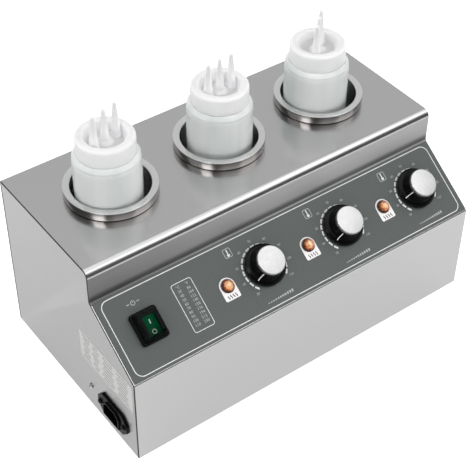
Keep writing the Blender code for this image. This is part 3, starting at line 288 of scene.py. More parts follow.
def finishPiece(
        name, mesh, material, slot, replaced, place, smooth=30, weighted=False, others=(), body="warmer"):
    # one object at the origin, with its place in its mesh, riding on a body. The faces that look along
    # a direction, closer than a cosine, between two heights may have another material
    made = tidied(mesh.copy())
    made.name = name
    made.materials.clear()
    normals, middles = np.zeros(len(made.polygons) * 3), np.zeros(len(made.polygons) * 3)
    made.polygons.foreach_get("normal", normals)
    made.polygons.foreach_get("center", middles)
    height = middles[2::3]
    chosen = np.zeros(len(made.polygons), int)
    for number, (_, direction, cosine, low, high) in enumerate(others, 1):
        chosen[(normals.reshape(-1, 3) @ direction > cosine) & (height > low) & (height < high)] = number
    for layer in (material, *[other[0] for other in others]):
        made.materials.append(layer)
    made.polygons.foreach_set("material_index", chosen)
    made.transform(place)
    tidied(made)
    made.shade_smooth()
    made.set_sharp_from_angle(angle=math.radians(smooth))
    piece = bpy.data.objects.new(name, made)
    bpy.context.scene.collection.objects.link(piece)
    if weighted:
        piece.modifiers.new("faces", "WEIGHTED_NORMAL").keep_sharp = True
    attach(piece, body)
    if replaced:
        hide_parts(replaced)


def grainMap(mesh, axis):
    # the map "surface" with u along one axis and v the angle about it, for metal brushed along it
    across = [i for i in range(3) if i != axis]
    places = np.zeros(len(mesh.vertices) * 3)
    mesh.vertices.foreach_get("co", places)
    places = places.reshape(-1, 3) - (0, 0, 0.1)
    corner = np.zeros(len(mesh.loops), int)
    mesh.loops.foreach_get("vertex_index", corner)
    at = places[corner]
    angle = np.arctan2(at[:, across[1]], at[:, across[0]]) / (2 * np.pi)
    layer = mesh.uv_layers.get("surface") or mesh.uv_layers.new(name="surface")
    layer.data.foreach_set("uv", np.stack([at[:, axis], angle], 1).ravel())
    return mesh


def standing(node, height, turn=0.0):
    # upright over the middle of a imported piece, at a height, turned by degrees
    low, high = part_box(node)
    spot = Matrix.Translation(((low.x + high.x) / 2, (low.y + high.y) / 2, height))
    return spot @ Matrix.Rotation(math.radians(turn), 4, "Z")


# Camera, light and floor

view = dict(place=(-0.56003, -0.73552, 0.94439), yaw=-0.64312, pitch=0.74037, roll=0.01261, lens=95.898)
camera = bpy.data.cameras.new("camera")
camera.lens, camera.sensor_width, camera.clip_start, camera.clip_end = view["lens"], 36, 0.05, 50
eye = bpy.data.objects.new("camera", camera)
eye.matrix_world = (
    Matrix.Translation(view["place"]) @ Matrix.Rotation(view["yaw"], 4, "Z")
    @ Matrix.Rotation(math.pi / 2 - view["pitch"], 4, "X") @ Matrix.Rotation(view["roll"], 4, "Z")
)
bpy.context.scene.collection.objects.link(eye)
bpy.context.scene.camera = eye
bpy.context.scene.view_settings.view_transform = "Standard"

# soft boxes: azimuth from the front towards the right, elevation, distance, size and radiance
softBoxes = [
    dict(name="softBoxRight", azimuth=45, elevation=48, distance=1.6, size=(1.1, 0.9), radiance=0.9),
    dict(name="softBoxLeft", azimuth=-68, elevation=44, distance=1.6, size=(0.52, 0.4), radiance=4.2),
]
softBoxAim = 0.12                 # the height that they face
for lamp in softBoxes:
    light = bpy.data.lights.new(lamp["name"], "AREA")
    light.shape = "RECTANGLE"
    light.size, light.size_y = lamp["size"]
    light.energy = math.pi * lamp["size"][0] * lamp["size"][1] * lamp["radiance"]
    azimuth, elevation = math.radians(lamp["azimuth"]), math.radians(lamp["elevation"])
    across = math.cos(elevation)
    towards = Vector((math.sin(azimuth) * across, -math.cos(azimuth) * across, math.sin(elevation)))
    holder = bpy.data.objects.new(lamp["name"], light)
    holder.matrix_world = (
        Matrix.Translation(Vector((0, 0, softBoxAim)) + towards * lamp["distance"])
        @ towards.to_track_quat("Z", "Y").to_matrix().to_4x4()
    )
    bpy.context.scene.collection.objects.link(holder)

# the room round the object, white to the camera itself: levels against (1 + sine of the elevation) / 2,
# bright overhead, pale behind and dark in front and at the left. Matt surfaces see an even tent,
# brightest at the horizon. The turns are where Y and X pass from one side's levels to the next
room = dict(
    back=[(0.5, 0.76), (0.70, 0.68), (0.89, 0.60), (0.95, 1.40), (1.0, 1.60)],
    front=[(0.5, 0.10), (0.66, 0.12), (0.76, 0.18), (0.85, 1.10), (1.0, 1.50)],
    left=[(0.5, 0.08), (0.70, 0.10), (0.88, 0.12), (0.95, 1.20), (1.0, 1.60)],
    toDiffuse=[(0.46, 0.5), (0.5, 2.75), (1.0, 0.0)], frontTurn=(0.35, 0.0), leftTurn=(-0.25, -0.55),
)
world = bpy.data.worlds.new("studio")
bpy.context.scene.world = world
world.use_nodes = True
sky = world.node_tree
sky.nodes.clear()
direction = addNode(sky, "TexCoord").outputs["Generated"]
parts = addNode(sky, "SeparateXYZ", {"Vector": direction})
height = addNode(sky, "MapRange", {"Value": parts.outputs["Z"], "From Min": -1.0, "From Max": 1.0})
levels = {
    side: addNode(sky, "ValToRGB", {"Fac": height.outputs["Result"]}, stops=room[side]).outputs["Color"]
    for side in ("back", "front", "left", "toDiffuse")}
shown = levels["back"]
for side, axis in (("front", "Y"), ("left", "X")):
    low, high = room[side + "Turn"]
    share = addNode(sky, "MapRange", {
        "Value": parts.outputs[axis], "From Min": low, "From Max": high}, interpolation_type="SMOOTHSTEP")
    shown = addNode(sky, "MixRGB", {
        "Fac": share.outputs["Result"], "Color1": shown, "Color2": levels[side]}).outputs["Color"]
rays = addNode(sky, "LightPath")
for ray, level in (("Is Diffuse Ray", levels["toDiffuse"]), ("Is Camera Ray", "#FFFFFF")):
    shown = addNode(sky, "MixRGB", {
        "Fac": rays.outputs[ray], "Color1": shown, "Color2": level}).outputs["Color"]
glow = addNode(sky, "Background", {"Color": shown, "Strength": 1.0})
addNode(sky, "OutputWorld", {"Surface": glow.outputs["Background"]})

# the floor is white to the camera and pale grey in reflections, and still takes the shadow
floorLook = dict(size=1.9, tint="#CECECE", toCamera=0.86, toGloss=0.42)
material, tree, surface = newMaterial("paintedFloor", {
    "Base Color": floorLook["tint"], "Roughness": 1.0, "Specular IOR Level": 0.0,
    "Emission Color": "#FFFFFF"})
rays = addNode(tree, "LightPath")
seen = addNode(tree, "Math", {
    0: rays.outputs["Is Glossy Ray"], 1: rays.outputs["Is Transmission Ray"]}, operation="ADD")
seen = addNode(tree, "Math", {0: seen.outputs[0], 1: floorLook["toGloss"]}, operation="MULTIPLY")
seen = addNode(tree, "Math", {
    0: rays.outputs["Is Camera Ray"], 1: floorLook["toCamera"], 2: seen.outputs[0]}, operation="MULTIPLY_ADD")
tree.links.new(seen.outputs[0], surface.inputs["Emission Strength"])
floorMesh = bpy.data.meshes.new("floor")
floorMesh.from_pydata([(*spot, 0) for spot in box(floorLook["size"], floorLook["size"])], [], [(0, 1, 2, 3)])
floorMesh.materials.append(material)
floor = bpy.data.objects.new("floor", floorMesh)
bpy.context.scene.collection.objects.link(floor)
print("camera, light and floor set")


# Materials

def steel(name, tint, roughness, cycles, height=0.0, anisotropic=0.5, metallic=1.0, paintedShade=None):
    # stainless steel: metallic, with the highlight stretched across the polishing lines, which follow
    # u. Where painted shade is given, a tint that runs along Z, multiplied by one that runs along X, at places
    # in metres, becomes the base colour
    material, tree, surface = newMaterial(name, {
        "Base Color": tint, "Metallic": metallic, "Roughness": roughness,
        "Anisotropic": anisotropic, "Anisotropic Rotation": 0.25})
    lines = addNode(tree, "Tangent", direction_type="UV_MAP", uv_map="surface")
    tree.links.new(lines.outputs["Tangent"], surface.inputs["Tangent"])
    addPattern(tree, surface, cycles, (roughness * 0.93, roughness * 1.07), height, detail=3.0)
    if paintedShade:
        place = addNode(tree, "SeparateXYZ", {
            "Vector": addNode(tree, "TexCoord").outputs["Object"]})
        tints = []
        for axis, stops in paintedShade.items():
            low, high = stops[0][0], stops[-1][0]
            share = addNode(tree, "MapRange", {
                "Value": place.outputs[axis], "From Min": low, "From Max": high})
            tints.append(addNode(tree, "ValToRGB", {"Fac": share.outputs["Result"]}, stops=[
                ((at - low) / (high - low), shade) for at, shade in stops]).outputs["Color"])
        both = addNode(tree, "MixRGB", {
            "Fac": 1.0, "Color1": tints[0], "Color2": tints[1]}, blend_type="MULTIPLY")
        tree.links.new(both.outputs["Color"], surface.inputs["Base Color"])
    return material


# 304 sheet with a No. 4 brushed finish: lines 0.1 mm apart are drawn 0.8 mm apart to show at all
brushedAlongX = steel("brushedStainlessSheet", "#C8C8C8", 0.22, (14, 1200, 1200), 3e-7)
brushedAlongY = steel("brushedStainlessSides", "#BABABA", 0.30, (1200, 14, 1200), 3e-7)
# the neck, brushed coarser after bending: a dull grey that shows no shapes, with painted shade: darker in a
# band near its foot, over a thin strip left lighter at the very foot, and darker towards its left end
neckPaintedShade = {
    "Z": [(0.1566, "#FFFFFF"), (0.1576, "#F4F4F4"), (0.1584, "#8E8E8E"), (0.1612, "#949494"),
          (0.1662, "#F2F2F2"), (0.180, "#FFFFFF")],
    "X": [(-0.2, "#8A8A8A"), (-0.12, "#979797"), (-0.06, "#ABABAB"), (0.005, "#B4B4B4"), (0.07, "#BCBCBC"),
          (0.13, "#C2C2C2"), (0.2, "#B2B2B2")],
}
neckSteel = steel("coarseBrushedNeckPaintedShade", "#C4C4C4", 0.60, (14, 1200, 1200), 3e-7, 0.2, 0.6, neckPaintedShade)
# the nose, bright where the press brake rubbed it
rubbedNose = steel("rubbedSteelBend", "#C4C4C4", 0.19, (14, 1200, 1200), 2e-7)
# the sheet's sheared edge, torn and dull, and the pans' folds: dark, painted shade of the seams where they
# meet
paintedSeamShade = patterned("paintedSeamShadeEdge", {
    "Base Color": "#1E1C1A", "Metallic": 0.2, "Roughness": 0.5}, 900, (0.42, 0.58), 4e-6)
# drawn cup with its flange turned on a lathe: a satin paler than the sheet
turnedSteel = steel("turnedStainlessCup", "#E6E6E6", 0.24, 60)
# collar polished on a buffing wheel: a near mirror
polishedSteel = steel("polishedStainlessCollar", "#A8A4A2", 0.03, 60, 0.0, 0.4)
# spun aluminium disc: brighter and softer than the steel, in rings
spunAluminium = steel("spunAluminiumCap", "#BCBCBC", 0.26, 400, 0.0, 0.9)
# mill-finish steel of the parts under and inside the case
millSteel = patterned("millFinishSteel", {
    "Base Color": "#B4B4B2", "Metallic": 1.0, "Roughness": 0.38}, 300, (0.33, 0.45), 3e-6)
# zinc-plated screw steel: pale and a little grainy
platedZinc = patterned("zincPlatedSteel", {
    "Base Color": "#DEDCD8", "Metallic": 1.0, "Roughness": 0.42}, 900, (0.36, 0.48), 3e-6)
# the inlet's screws, chemically blackened: dark with a metal's shine
blackenedSteel = patterned("blackOxideScrewSteel", {
    "Base Color": "#2A2A2B", "Metallic": 0.9, "Roughness": 0.28}, 900, (0.24, 0.36), 3e-6)
# heater steel, oxidised by its heat to a warm, uneven grey
heaterSteel = patterned("oxidisedHeaterSteel", {
    "Base Color": "#8C857C", "Metallic": 1.0, "Roughness": 0.45},
    120, (0.38, 0.55), None, ("#7C766E", "#9A938A"))

# velvet polycarbonate film printed from behind: a fine matt grain about 1 mm across
overlayFilm = patterned("velvetPolycarbonateFilm", {
    "Base Color": "#4E5552", "Roughness": 0.45, "IOR": 1.585},
    800, (0.40, 0.52), 8e-6, ("#404644", "#4A504E"))


def ink(name, tint, roughness=0.45):
    # screen-printed ink: an even matt coat, with slight unevenness from the mesh
    return patterned(name, {"Base Color": tint, "Roughness": roughness, "IOR": 1.5},
                     1500, (roughness * 0.9, roughness * 1.1), 3e-6)


whiteInk = ink("whiteScreenInk", "#DCDDDB")
greyInk = ink("greyScreenInk", "#A8ADAA")
darkInk = ink("darkScreenInk", "#3A4142")
labelGreyInk = ink("labelGreyInk", "#727270")
# polyester film: glossy white for the lamps' plates, matt and greyer for the rating label
tagFilm = ink("whitePolyesterTag", "#ECEAE9", 0.3)
labelFilm = ink("matPolyesterLabel", "#B4B4B2", 0.4)

# black phenolic, compression moulded and glossy, with a faint waviness from the mould
blackPhenolic = patterned("glossBlackPhenolic", {
    "Base Color": "#050505", "Roughness": 0.2, "IOR": 1.5, "Specular IOR Level": 0.16},
    60, (0.16, 0.25), 1e-5)
# black nylon 66 of the switch frame and inlet: finely spark-eroded
blackNylon = patterned("sparkFinishBlackNylon", {
    "Base Color": "#060606", "Roughness": 0.34, "IOR": 1.45, "Specular IOR Level": 0.12},
    1400, (0.30, 0.40), 2e-6)
# the silicone boot's smoky sides, and its clear top
smokedSilicone = patterned("smokedSiliconeBoot", {
    "Base Color": "#090C0B", "Roughness": 0.2, "IOR": 1.41, "Specular IOR Level": 0.12, "Alpha": 0.9},
    150, (0.16, 0.24))
clearSilicone = patterned("clearSiliconeBootTop", {
    "Base Color": "#10201A", "Roughness": 0.3, "IOR": 1.3, "Specular IOR Level": 0.0, "Alpha": 0.1},
    150, (0.26, 0.34))
# polycarbonate rocker, dark green and smooth
greenRocker = patterned("greenPolycarbonateRocker", {
    "Base Color": "#045632", "Roughness": 0.25, "IOR": 1.5, "Specular IOR Level": 0.04},
    200, (0.2, 0.32), 1e-5)
# bezel moulded in dark brown polycarbonate, smooth
brownBezel = patterned("brownPolycarbonateBezel", {
    "Base Color": "#3A1A08", "Roughness": 0.18, "IOR": 1.55}, 300, (0.14, 0.24), 1e-5)
# LDPE squeeze bottle, blown: thin milky wall that lets light through
milkyPolythene = patterned("blownMilkyPolythene", {
    "Base Color": "#E6EBEA", "Roughness": 0.22, "IOR": 1.51, "Transmission Weight": 0.17,
    "Subsurface Weight": 0.65, "Subsurface Radius": (1.0, 1.0, 1.0), "Subsurface Scale": 0.010},
    (34, 34, 3), (0.19, 0.26), None, ("#D4DDDC", "#FAFCFA"))
# injection-moulded white LDPE cap: thicker, nearly opaque
whitePolythene = patterned("mouldedWhitePolythene", {
    "Base Color": "#F5F5F6", "Roughness": 0.38, "IOR": 1.51, "Specular IOR Level": 0.3,
    "Subsurface Weight": 0.8, "Subsurface Radius": (1.0, 1.0, 1.0), "Subsurface Scale": 0.010},
    300, (0.40, 0.48))
# natural rubber foot, tyre-black and dull
blackRubber = patterned("dullBlackRubber", {
    "Base Color": "#1C1C1B", "Roughness": 0.7, "IOR": 1.52}, 700, (0.62, 0.78), 2e-5)
# matt brown phenolic of the thermostats, and smooth white urea of the terminal block
brownPhenolic = patterned("mattBrownPhenolic", {
    "Base Color": "#3A2A20", "Roughness": 0.4, "IOR": 1.55}, 300, (0.34, 0.48), 1e-5, ("#33251C", "#423024"))
whiteUrea = patterned("mouldedWhiteUrea", {
    "Base Color": "#E2E0DA", "Roughness": 0.35, "IOR": 1.55}, 300, (0.3, 0.42), 1e-5)

# amber polycarbonate lens, faceted, with painted light and shade: pale in the middle, where a lens gathers
# light, and brown at its foot. The colour runs down the lens on its own map, broken up facet by facet
lensLightAndShade = [(0.02, "#EBCBA8"), (0.15, "#D9A070"), (0.26, "#AA6032"), (0.35, "#743814"), (0.5, "#3C1A08")]
lensBreak = 0.45
amberLens, tree, surface = newMaterial("amberPolycarbonateLens", {
    "Roughness": 0.12, "IOR": 1.585, "Subsurface Weight": 0.2, "Subsurface Radius": (1.0, 0.5, 0.2),
    "Subsurface Scale": 0.001})
facets = addPattern(tree, surface, 450, (0.08, 0.16))
down = addNode(tree, "SeparateXYZ", {
    "Vector": addNode(tree, "UVMap", uv_map="surface").outputs["UV"]})
broken = addNode(tree, "Math", {
    0: facets, 1: lensBreak, 2: -lensBreak / 2}, operation="MULTIPLY_ADD")
broken = addNode(tree, "Math", {0: down.outputs["Y"], 1: broken.outputs[0]}, operation="ADD")
tints = addNode(tree, "ValToRGB", {"Fac": broken.outputs[0]}, stops=lensLightAndShade)
tree.links.new(tints.outputs["Color"], surface.inputs["Base Color"])
print("materials made")


# Housing

housing = dict(
    width=0.400, front=-0.112, back=0.112, foot=0.008, top=0.193, slopeFoot=0.110, neckFoot=0.157,
    neck=-0.0435, sheet=0.0012, bend=0.0024, neckBend=0.0055, nose=0.008, rubbed=0.0008, turnIn=0.014,
    edge=0.0004, inset=0.0015, flange=0.016, fold=0.0008, panFoot=0.0018, wellHole=0.0393,
)
rise, run = housing["neckFoot"] - housing["slopeFoot"], housing["neck"] - housing["front"]
slopeLength = math.hypot(rise, run)
panelPlace = Matrix.Translation((0, housing["front"], housing["slopeFoot"]))
panelPlace @= Matrix.Rotation(math.atan2(rise, run), 4, "X")
# the controls' places along the sloping panel and up it, and their holes in the sheet and the film
controls = dict(
    knob=dict(along=(-0.0321, 0.0626, 0.1573), up=0.0431984, hole=0.0051),
    lamp=dict(along=(-0.0755, 0.0192, 0.1139), up=0.0415369, hole=0.0052),
    switch=dict(along=(-0.1622,), up=0.0417861, hole=(0.0220, 0.0276)),
)
spots = {kind: [Matrix.Translation((x, of["up"], 0)) for x in of["along"]] for kind, of in controls.items()}
# cuts at the feet of the sheet and of the pans, where they meet: width, depth and height, and how
# far the middle lies in from the end and from the front or the back
cornerCuts = dict(
    notch=(0.0035, 0.0165, 0.0038, 0.00025, 0.00975), relief=(0.0160, 0.0163, 0.0039, 0.0095, 0.00615))
# stands a side view up: its X becomes the case's Y, its Y the height and its height X
sideView = Matrix(((0, 0, 1, 0), (1, 0, 0, 0), (0, 1, 0, 0), (0, 0, 0, 1)))


def cornerCut(kind, *ends):
    # one of these cuts, in front and behind, at each end
    wide, deep, tall, fromEnd, fromFace = cornerCuts[kind]
    block = moulded(kind, box(wide, deep), 0.0001, 1, [(0, -0.001), (0, tall)])
    x, y = housing["width"] / 2 - fromEnd, housing["back"] - fromFace
    return moved(block, *[
        Matrix.Translation((end * x, side * y, housing["foot"])) for end in ends for side in (-1, 1)])


def controlHoles():
    # tools for the holes of all the controls, in the panel's own frame
    slot = moulded("slot", box(*controls["switch"]["hole"]), 0.0003, 1, [(0, level) for level in punchSpan])
    holes = [moved(punch(controls[kind]["hole"]), *spots[kind]) for kind in ("knob", "lamp")]
    return [*holes, moved(slot, *spots["switch"])]


def wrapCover():
    # one sheet swept along the case's side view; its section is the sheet's own thickness
    h = housing
    front, back, foot, top = h["front"], h["back"], h["foot"], h["top"]
    corners = [
        (back - h["turnIn"], foot), (back, foot), (back, top), (h["neck"], top), (h["neck"], h["neckFoot"]),
        (front, h["slopeFoot"]), (front, foot), (front + h["turnIn"], foot),
    ]
    radii = [0, h["bend"], h["bend"], h["nose"], h["neckBend"], h["bend"], h["bend"], 0]
    path, away = roundedPath(corners, radii, 12, closed=False)
    section = roundedPath(box(h["width"], h["sheet"], (0, h["sheet"] / 2)), h["edge"], 3)[0]
    x = np.broadcast_to(section[:, 0], (len(path), len(section)))
    side = path[:, None] - away[:, None] * section[None, :, 1:]
    sheet = gridMesh("wrapCover", np.concatenate([x[..., None], side], -1), closeColumns=True, capRows=True)
    wellHoles = moved(punch(h["wellHole"], 96), *[standing(f"well_cup_{n}", top) for n in (1, 2, 3)])
    panelHoles = [moved(tool, panelPlace) for tool in controlHoles()]
    sheet = cutBy(sheet, [wellHoles, *panelHoles, cornerCut("notch", -1, 1)])
    noseFoot = top - h["nose"] + h["rubbed"]
    finishPiece("wrapCoverSheet", grainMap(sheet, 0), brushedAlongX, "brushed_stainless", "wrap_cover",
                Matrix(), weighted=True, others=[
                    # the sheet's cut ends, dark: painted shade of the seams with the side pans
                    (paintedSeamShade, (1, 0, 0), 0.6, 0, 1), (paintedSeamShade, (-1, 0, 0), 0.6, 0, 1),
                    # the neck, with painted shade at its foot and towards its left end
                    (neckSteel, (0, -1, 0), 0.6, h["neckFoot"] - 0.01, noseFoot),
                    (rubbedNose, (0, -0.7071, 0.7071), 0.73, noseFoot, top)])


def sidePanels():
    # a shallow pan: the case's side view, set in by a gap, with a flange folded in all round
    h = housing
    foot, inset, inner, fold = h["foot"] - h["inset"], h["inset"], h["inset"] + h["sheet"], -h["flange"]
    corners = [(h["front"], foot), (h["back"], foot), (h["back"], h["top"]), (h["neck"], h["top"]),
               (h["neck"], h["neckFoot"]), (h["front"], h["slopeFoot"])]
    radii = [h["panFoot"], h["panFoot"], h["bend"], h["nose"], h["bend"], h["bend"]]
    profile = roundedPath([
        (inset + 0.004, 0), (inset, 0), (inset, fold), (inner, fold), (inner, -h["sheet"]),
        (inner + 0.004, -h["sheet"])], [0, h["fold"], 0.0002, 0.0002, 0.0004, 0], 3, closed=False)[0]
    for side, end in (("left", -1), ("right", 1)):
        pan = moulded("pan", corners, radii, 8, profile)
        mirrored = Matrix.Diagonal((end, 1, 1, 1)) @ sideView
        pan.transform(Matrix.Translation((end * h["width"] / 2, 0, 0)) @ mirrored)
        pan = cutBy(pan, [cornerCut("relief", end), *(inletCuts() if end < 0 else ())])
        finishPiece(f"{side}_side_pan", grainMap(pan, 1), brushedAlongY, "brushed_stainless",
                    f"{side}_side_panel", Matrix(), weighted=True, others=[
                        # the pan's fold round its face is dark: painted shade of the seam with the sheet
                        (paintedSeamShade, (end, 0, 0), 0.2, 0, 1), (brushedAlongY, (end, 0, 0), 0.97, 0, 1)])


# Mains inlet, its screws and the earth screw, on the left side

inlet = dict(
    place=(-0.200, -0.0715, 0.0355), length=0.050, width=0.027, tip=0.0095, flat=0.017, thickness=0.0026,
    rim=0.0046, opening=(0.0242, 0.0162), chamfer=0.005, wall=0.0017, depth=0.012, back=0.003, pitch=0.040,
    screwHole=0.0018, pinHole=(0.0027, 0.0046), pins=((-0.007, -0.002, 0), (0, 0.002, 0), (0.007, -0.002, 0)),
)
screw = dict(head=0.003, height=0.0019, shank=0.0015, length=0.007)
# on the left side, X runs from back to front, Y up and Z out
leftSide = Matrix.Rotation(-math.pi / 2, 4, "Z") @ Matrix.Rotation(math.pi / 2, 4, "X")
inletPlace = Matrix.Translation(inlet["place"]) @ leftSide
low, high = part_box("earth_screw")
earthPlace = Matrix.Translation((inlet["place"][0], (low.y + high.y) / 2, (low.z + high.z) / 2)) @ leftSide
screwSpots = [Matrix.Translation((side * inlet["pitch"] / 2, 0, 0)) for side in (-1, 1)]


def socketOutline(grow=0.0):
    # a rectangle with its two upper corners cut off
    a, b = inlet["opening"][0] / 2 + grow, inlet["opening"][1] / 2 + grow
    cut = inlet["chamfer"] + grow / 2
    return [(-a, -b), (a, -b), (a, b - cut), (a - cut, b), (-a + cut, b), (-a, b - cut)]


def inletCuts():
    # tools for the opening and the screw holes in the left panel
    outline = socketOutline(inlet["wall"] + fitGap)
    opening = moulded("opening", outline, 0.0005, 2, [(0, level) for level in punchSpan])
    holes = moved(punch(inlet["screwHole"], 24), *[inletPlace @ spot for spot in screwSpots], earthPlace)
    return [moved(opening, inletPlace), holes]


def mainsInlet():
    # a six-sided rim through an eight-sided flange, with a cavity whose mouth is chamfered
    i = inlet
    tip, half, end, flat = i["length"] / 2, i["width"] / 2, i["tip"] / 2, i["flat"]
    outline = [(-tip, -end), (-flat, -half), (flat, -half), (tip, -end),
               (tip, end), (flat, half), (-flat, half), (-tip, end)]
    flange = moulded("flange", outline, 0.0016, 5, softEdge(fitGap, i["thickness"], 0.0007, 0.0002))
    rim = moulded("rim", socketOutline(i["wall"]), 0.0014, 4,
                  softEdge(-i["depth"] - i["back"], i["rim"], 0.0006, 0.0002))
    floor, mouth = -i["depth"], i["rim"]
    cavity = moulded("cavity", socketOutline(), 0.0009, 4, [
        (0.0004, floor), (0, floor + 0.0004), (0, mouth - 0.0004), (-0.0005, mouth + 0.0003)])
    holes = moved(punch(i["screwHole"], 24), *screwSpots)
    pinHole = moulded("pinHole", box(*i["pinHole"]), 0.0003, 1, [(0, -0.02), (0, -0.010)])
    pinHoles = moved(pinHole, *[Matrix.Translation(spot) for spot in i["pins"]])
    socket = combined(
        flange, ("UNION", rim), ("DIFFERENCE", cavity), ("DIFFERENCE", holes), ("DIFFERENCE", pinHoles))
    finishPiece("inletSocket", socket, blackNylon, "black_nylon", "inlet_socket", inletPlace, 32, True)


def panScrew(name, replaced, place, material, slot):
    # a domed head with a cross recess over its shank
    head, height, shank, length = screw.values()
    body = turned(name, [
        (0, height), (head * 0.6, height), (head, height * 0.4), (head, 0), (shank, 0), (shank, -length),
        (0, -length),
    ], [0, head * 0.5, 0.0003, 0.0002, 0, 0.0003, 0], 48, 5)
    recess = [(0, height * 0.45), (0, height + 0.001)]
    bar = moulded("recess", box(head * 1.2, head * 0.27), 0.0001, 1, recess)
    cross = moved(bar, Matrix.Rotation(math.pi / 2, 4, "Z"))
    finishPiece(name, cutBy(body, [bar, cross]), material, slot, replaced, place)


wrapCover()
sidePanels()
mainsInlet()
for number, spot in enumerate(screwSpots, 1):
    place = inletPlace @ spot @ Matrix.Translation((0, 0, inlet["thickness"] + fitGap))
    panScrew(f"inletScrew{number}", f"inlet_screw_{number}", place, blackenedSteel, "blackened_steel")
place = earthPlace @ Matrix.Translation((0, 0, fitGap))
panScrew("earthScrew", "earth_screw", place, platedZinc, "plated_metal")
print("housing made")


# Wells

well = dict(
    inner=0.038, wall=0.001, floor=0.062, corner=0.006, rimTop=0.202, rimRadius=0.0448, rimRound=0.0012,
    collarLow=0.1937, collarHigh=0.2007, collarWall=0.0018, collarSwell=0.0001,
)


def wells():
    # a cup with its wall and rim in one profile, and a ring round it
    w = well
    floor, top, rim = w["floor"], w["rimTop"], w["rimRadius"]
    under, lip, outer = floor - w["wall"], top - w["wall"], w["inner"] + w["wall"]
    cup = turned("wellCup", [
        (0, floor), (w["inner"], floor), (w["inner"], top), (rim, top), (rim, lip), (outer, lip),
        (outer, under), (0, under),
    ], [0, w["corner"], w["rimRound"], 0.0004, 0.0004, 0, w["corner"] + w["wall"], 0], 144, 6)
    # the collar's side swells: the radius falls with the square of the height from its middle
    share = np.linspace(-1, 1, 13)
    low, high, inside = w["collarLow"], w["collarHigh"], rim - w["collarWall"]
    side = np.stack([rim - w["collarSwell"] * share ** 2, (low + high) / 2 + (high - low) / 2 * share], 1)
    collar = revolved("wellCollar", np.vstack([side, [(inside, high), (inside, low)]]), 144, True)
    for n in (1, 2, 3):
        place = standing(f"well_cup_{n}", 0)
        finishPiece(f"wellCup{n}", cup, turnedSteel, "brushed_stainless", f"well_cup_{n}", place, 40)
        finishPiece(f"wellCollar{n}", collar, polishedSteel, "polished_stainless", f"well_collar_{n}",
                    place, 40)


wells()
print("wells made")


# Bottles and caps

bottle = dict(
    radius=0.032, wall=0.0012, footRound=0.005, pushUp=0.003, ring=0.005, shoulderStart=0.1715,
    shoulderMid=0.1750, midRadius=0.0314, bead=0.1784, beadRadius=0.0301, shoulderTop=0.1805,
    topRadius=0.0287, neck=0.025, neckTop=0.195,
)
cap = dict(
    radius=0.0278, height=0.0183, wall=0.0014, dish=0.0206, dishFloor=0.0165, depth=0.009, mound=0.0085,
    moundHeight=0.004, spacing=0.0142, base=0.0048, flare=0.0016, flareHeight=0.0035, tip=0.0017, rise=0.0266,
    boreLow=0.0034, boreTip=0.001, rowTurns=(15.5, 5.5, 43.0),
)


def bottles():
    # one closed profile: up the inside to the neck's mouth, then down the shoulder with its bead and
    # fine groove, and in under the pushed-up foot
    b = bottle
    wall, groove, mid, top = b["wall"], b["shoulderMid"], b["midRadius"], b["shoulderTop"]
    inner, neckIn, ring = b["radius"] - wall, b["neck"] - wall, b["radius"] - b["footRound"]
    dome = ring - b["ring"]
    shell = turned("bottle", [
        (0, b["pushUp"] + wall), (dome, b["pushUp"] + wall), (ring, wall), (inner, b["footRound"]),
        (inner, b["shoulderStart"]), (mid - wall, groove), (neckIn, top - wall), (neckIn, b["neckTop"]),
        (b["neck"], b["neckTop"]), (b["neck"], top), (b["topRadius"], top), (b["beadRadius"], b["bead"]),
        (mid + 0.0002, groove + 0.0011), (mid - 0.0004, groove + 0.0006), (mid - 0.0004, groove),
        (mid + 0.0001, groove - 0.0006), (b["radius"], b["shoulderStart"]), (b["radius"], 0.0008), (ring, 0),
        (dome, 0), (dome - b["pushUp"], b["pushUp"]), (0, b["pushUp"]),
    ], [0, 0.002, 0.003, 0.004, 0.004, 0.001, 0.0012, 0.0003, 0.0003, 0.0004, 0.001, 0.003, 0.0003, 0.0002,
        0.0002, 0.0003, 0.005, 0.0045, 0.002, 0.001, 0.001, 0], 112, 5)
    for n in (1, 2, 3):
        place = standing(f"bottle_{n}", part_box(f"bottle_{n}")[0].z)
        finishPiece(f"squeezeBottle{n}", shell, milkyPolythene, "milky_polyethylene", f"bottle_{n}", place,
                    50, body=f"bottle_body_{n}")


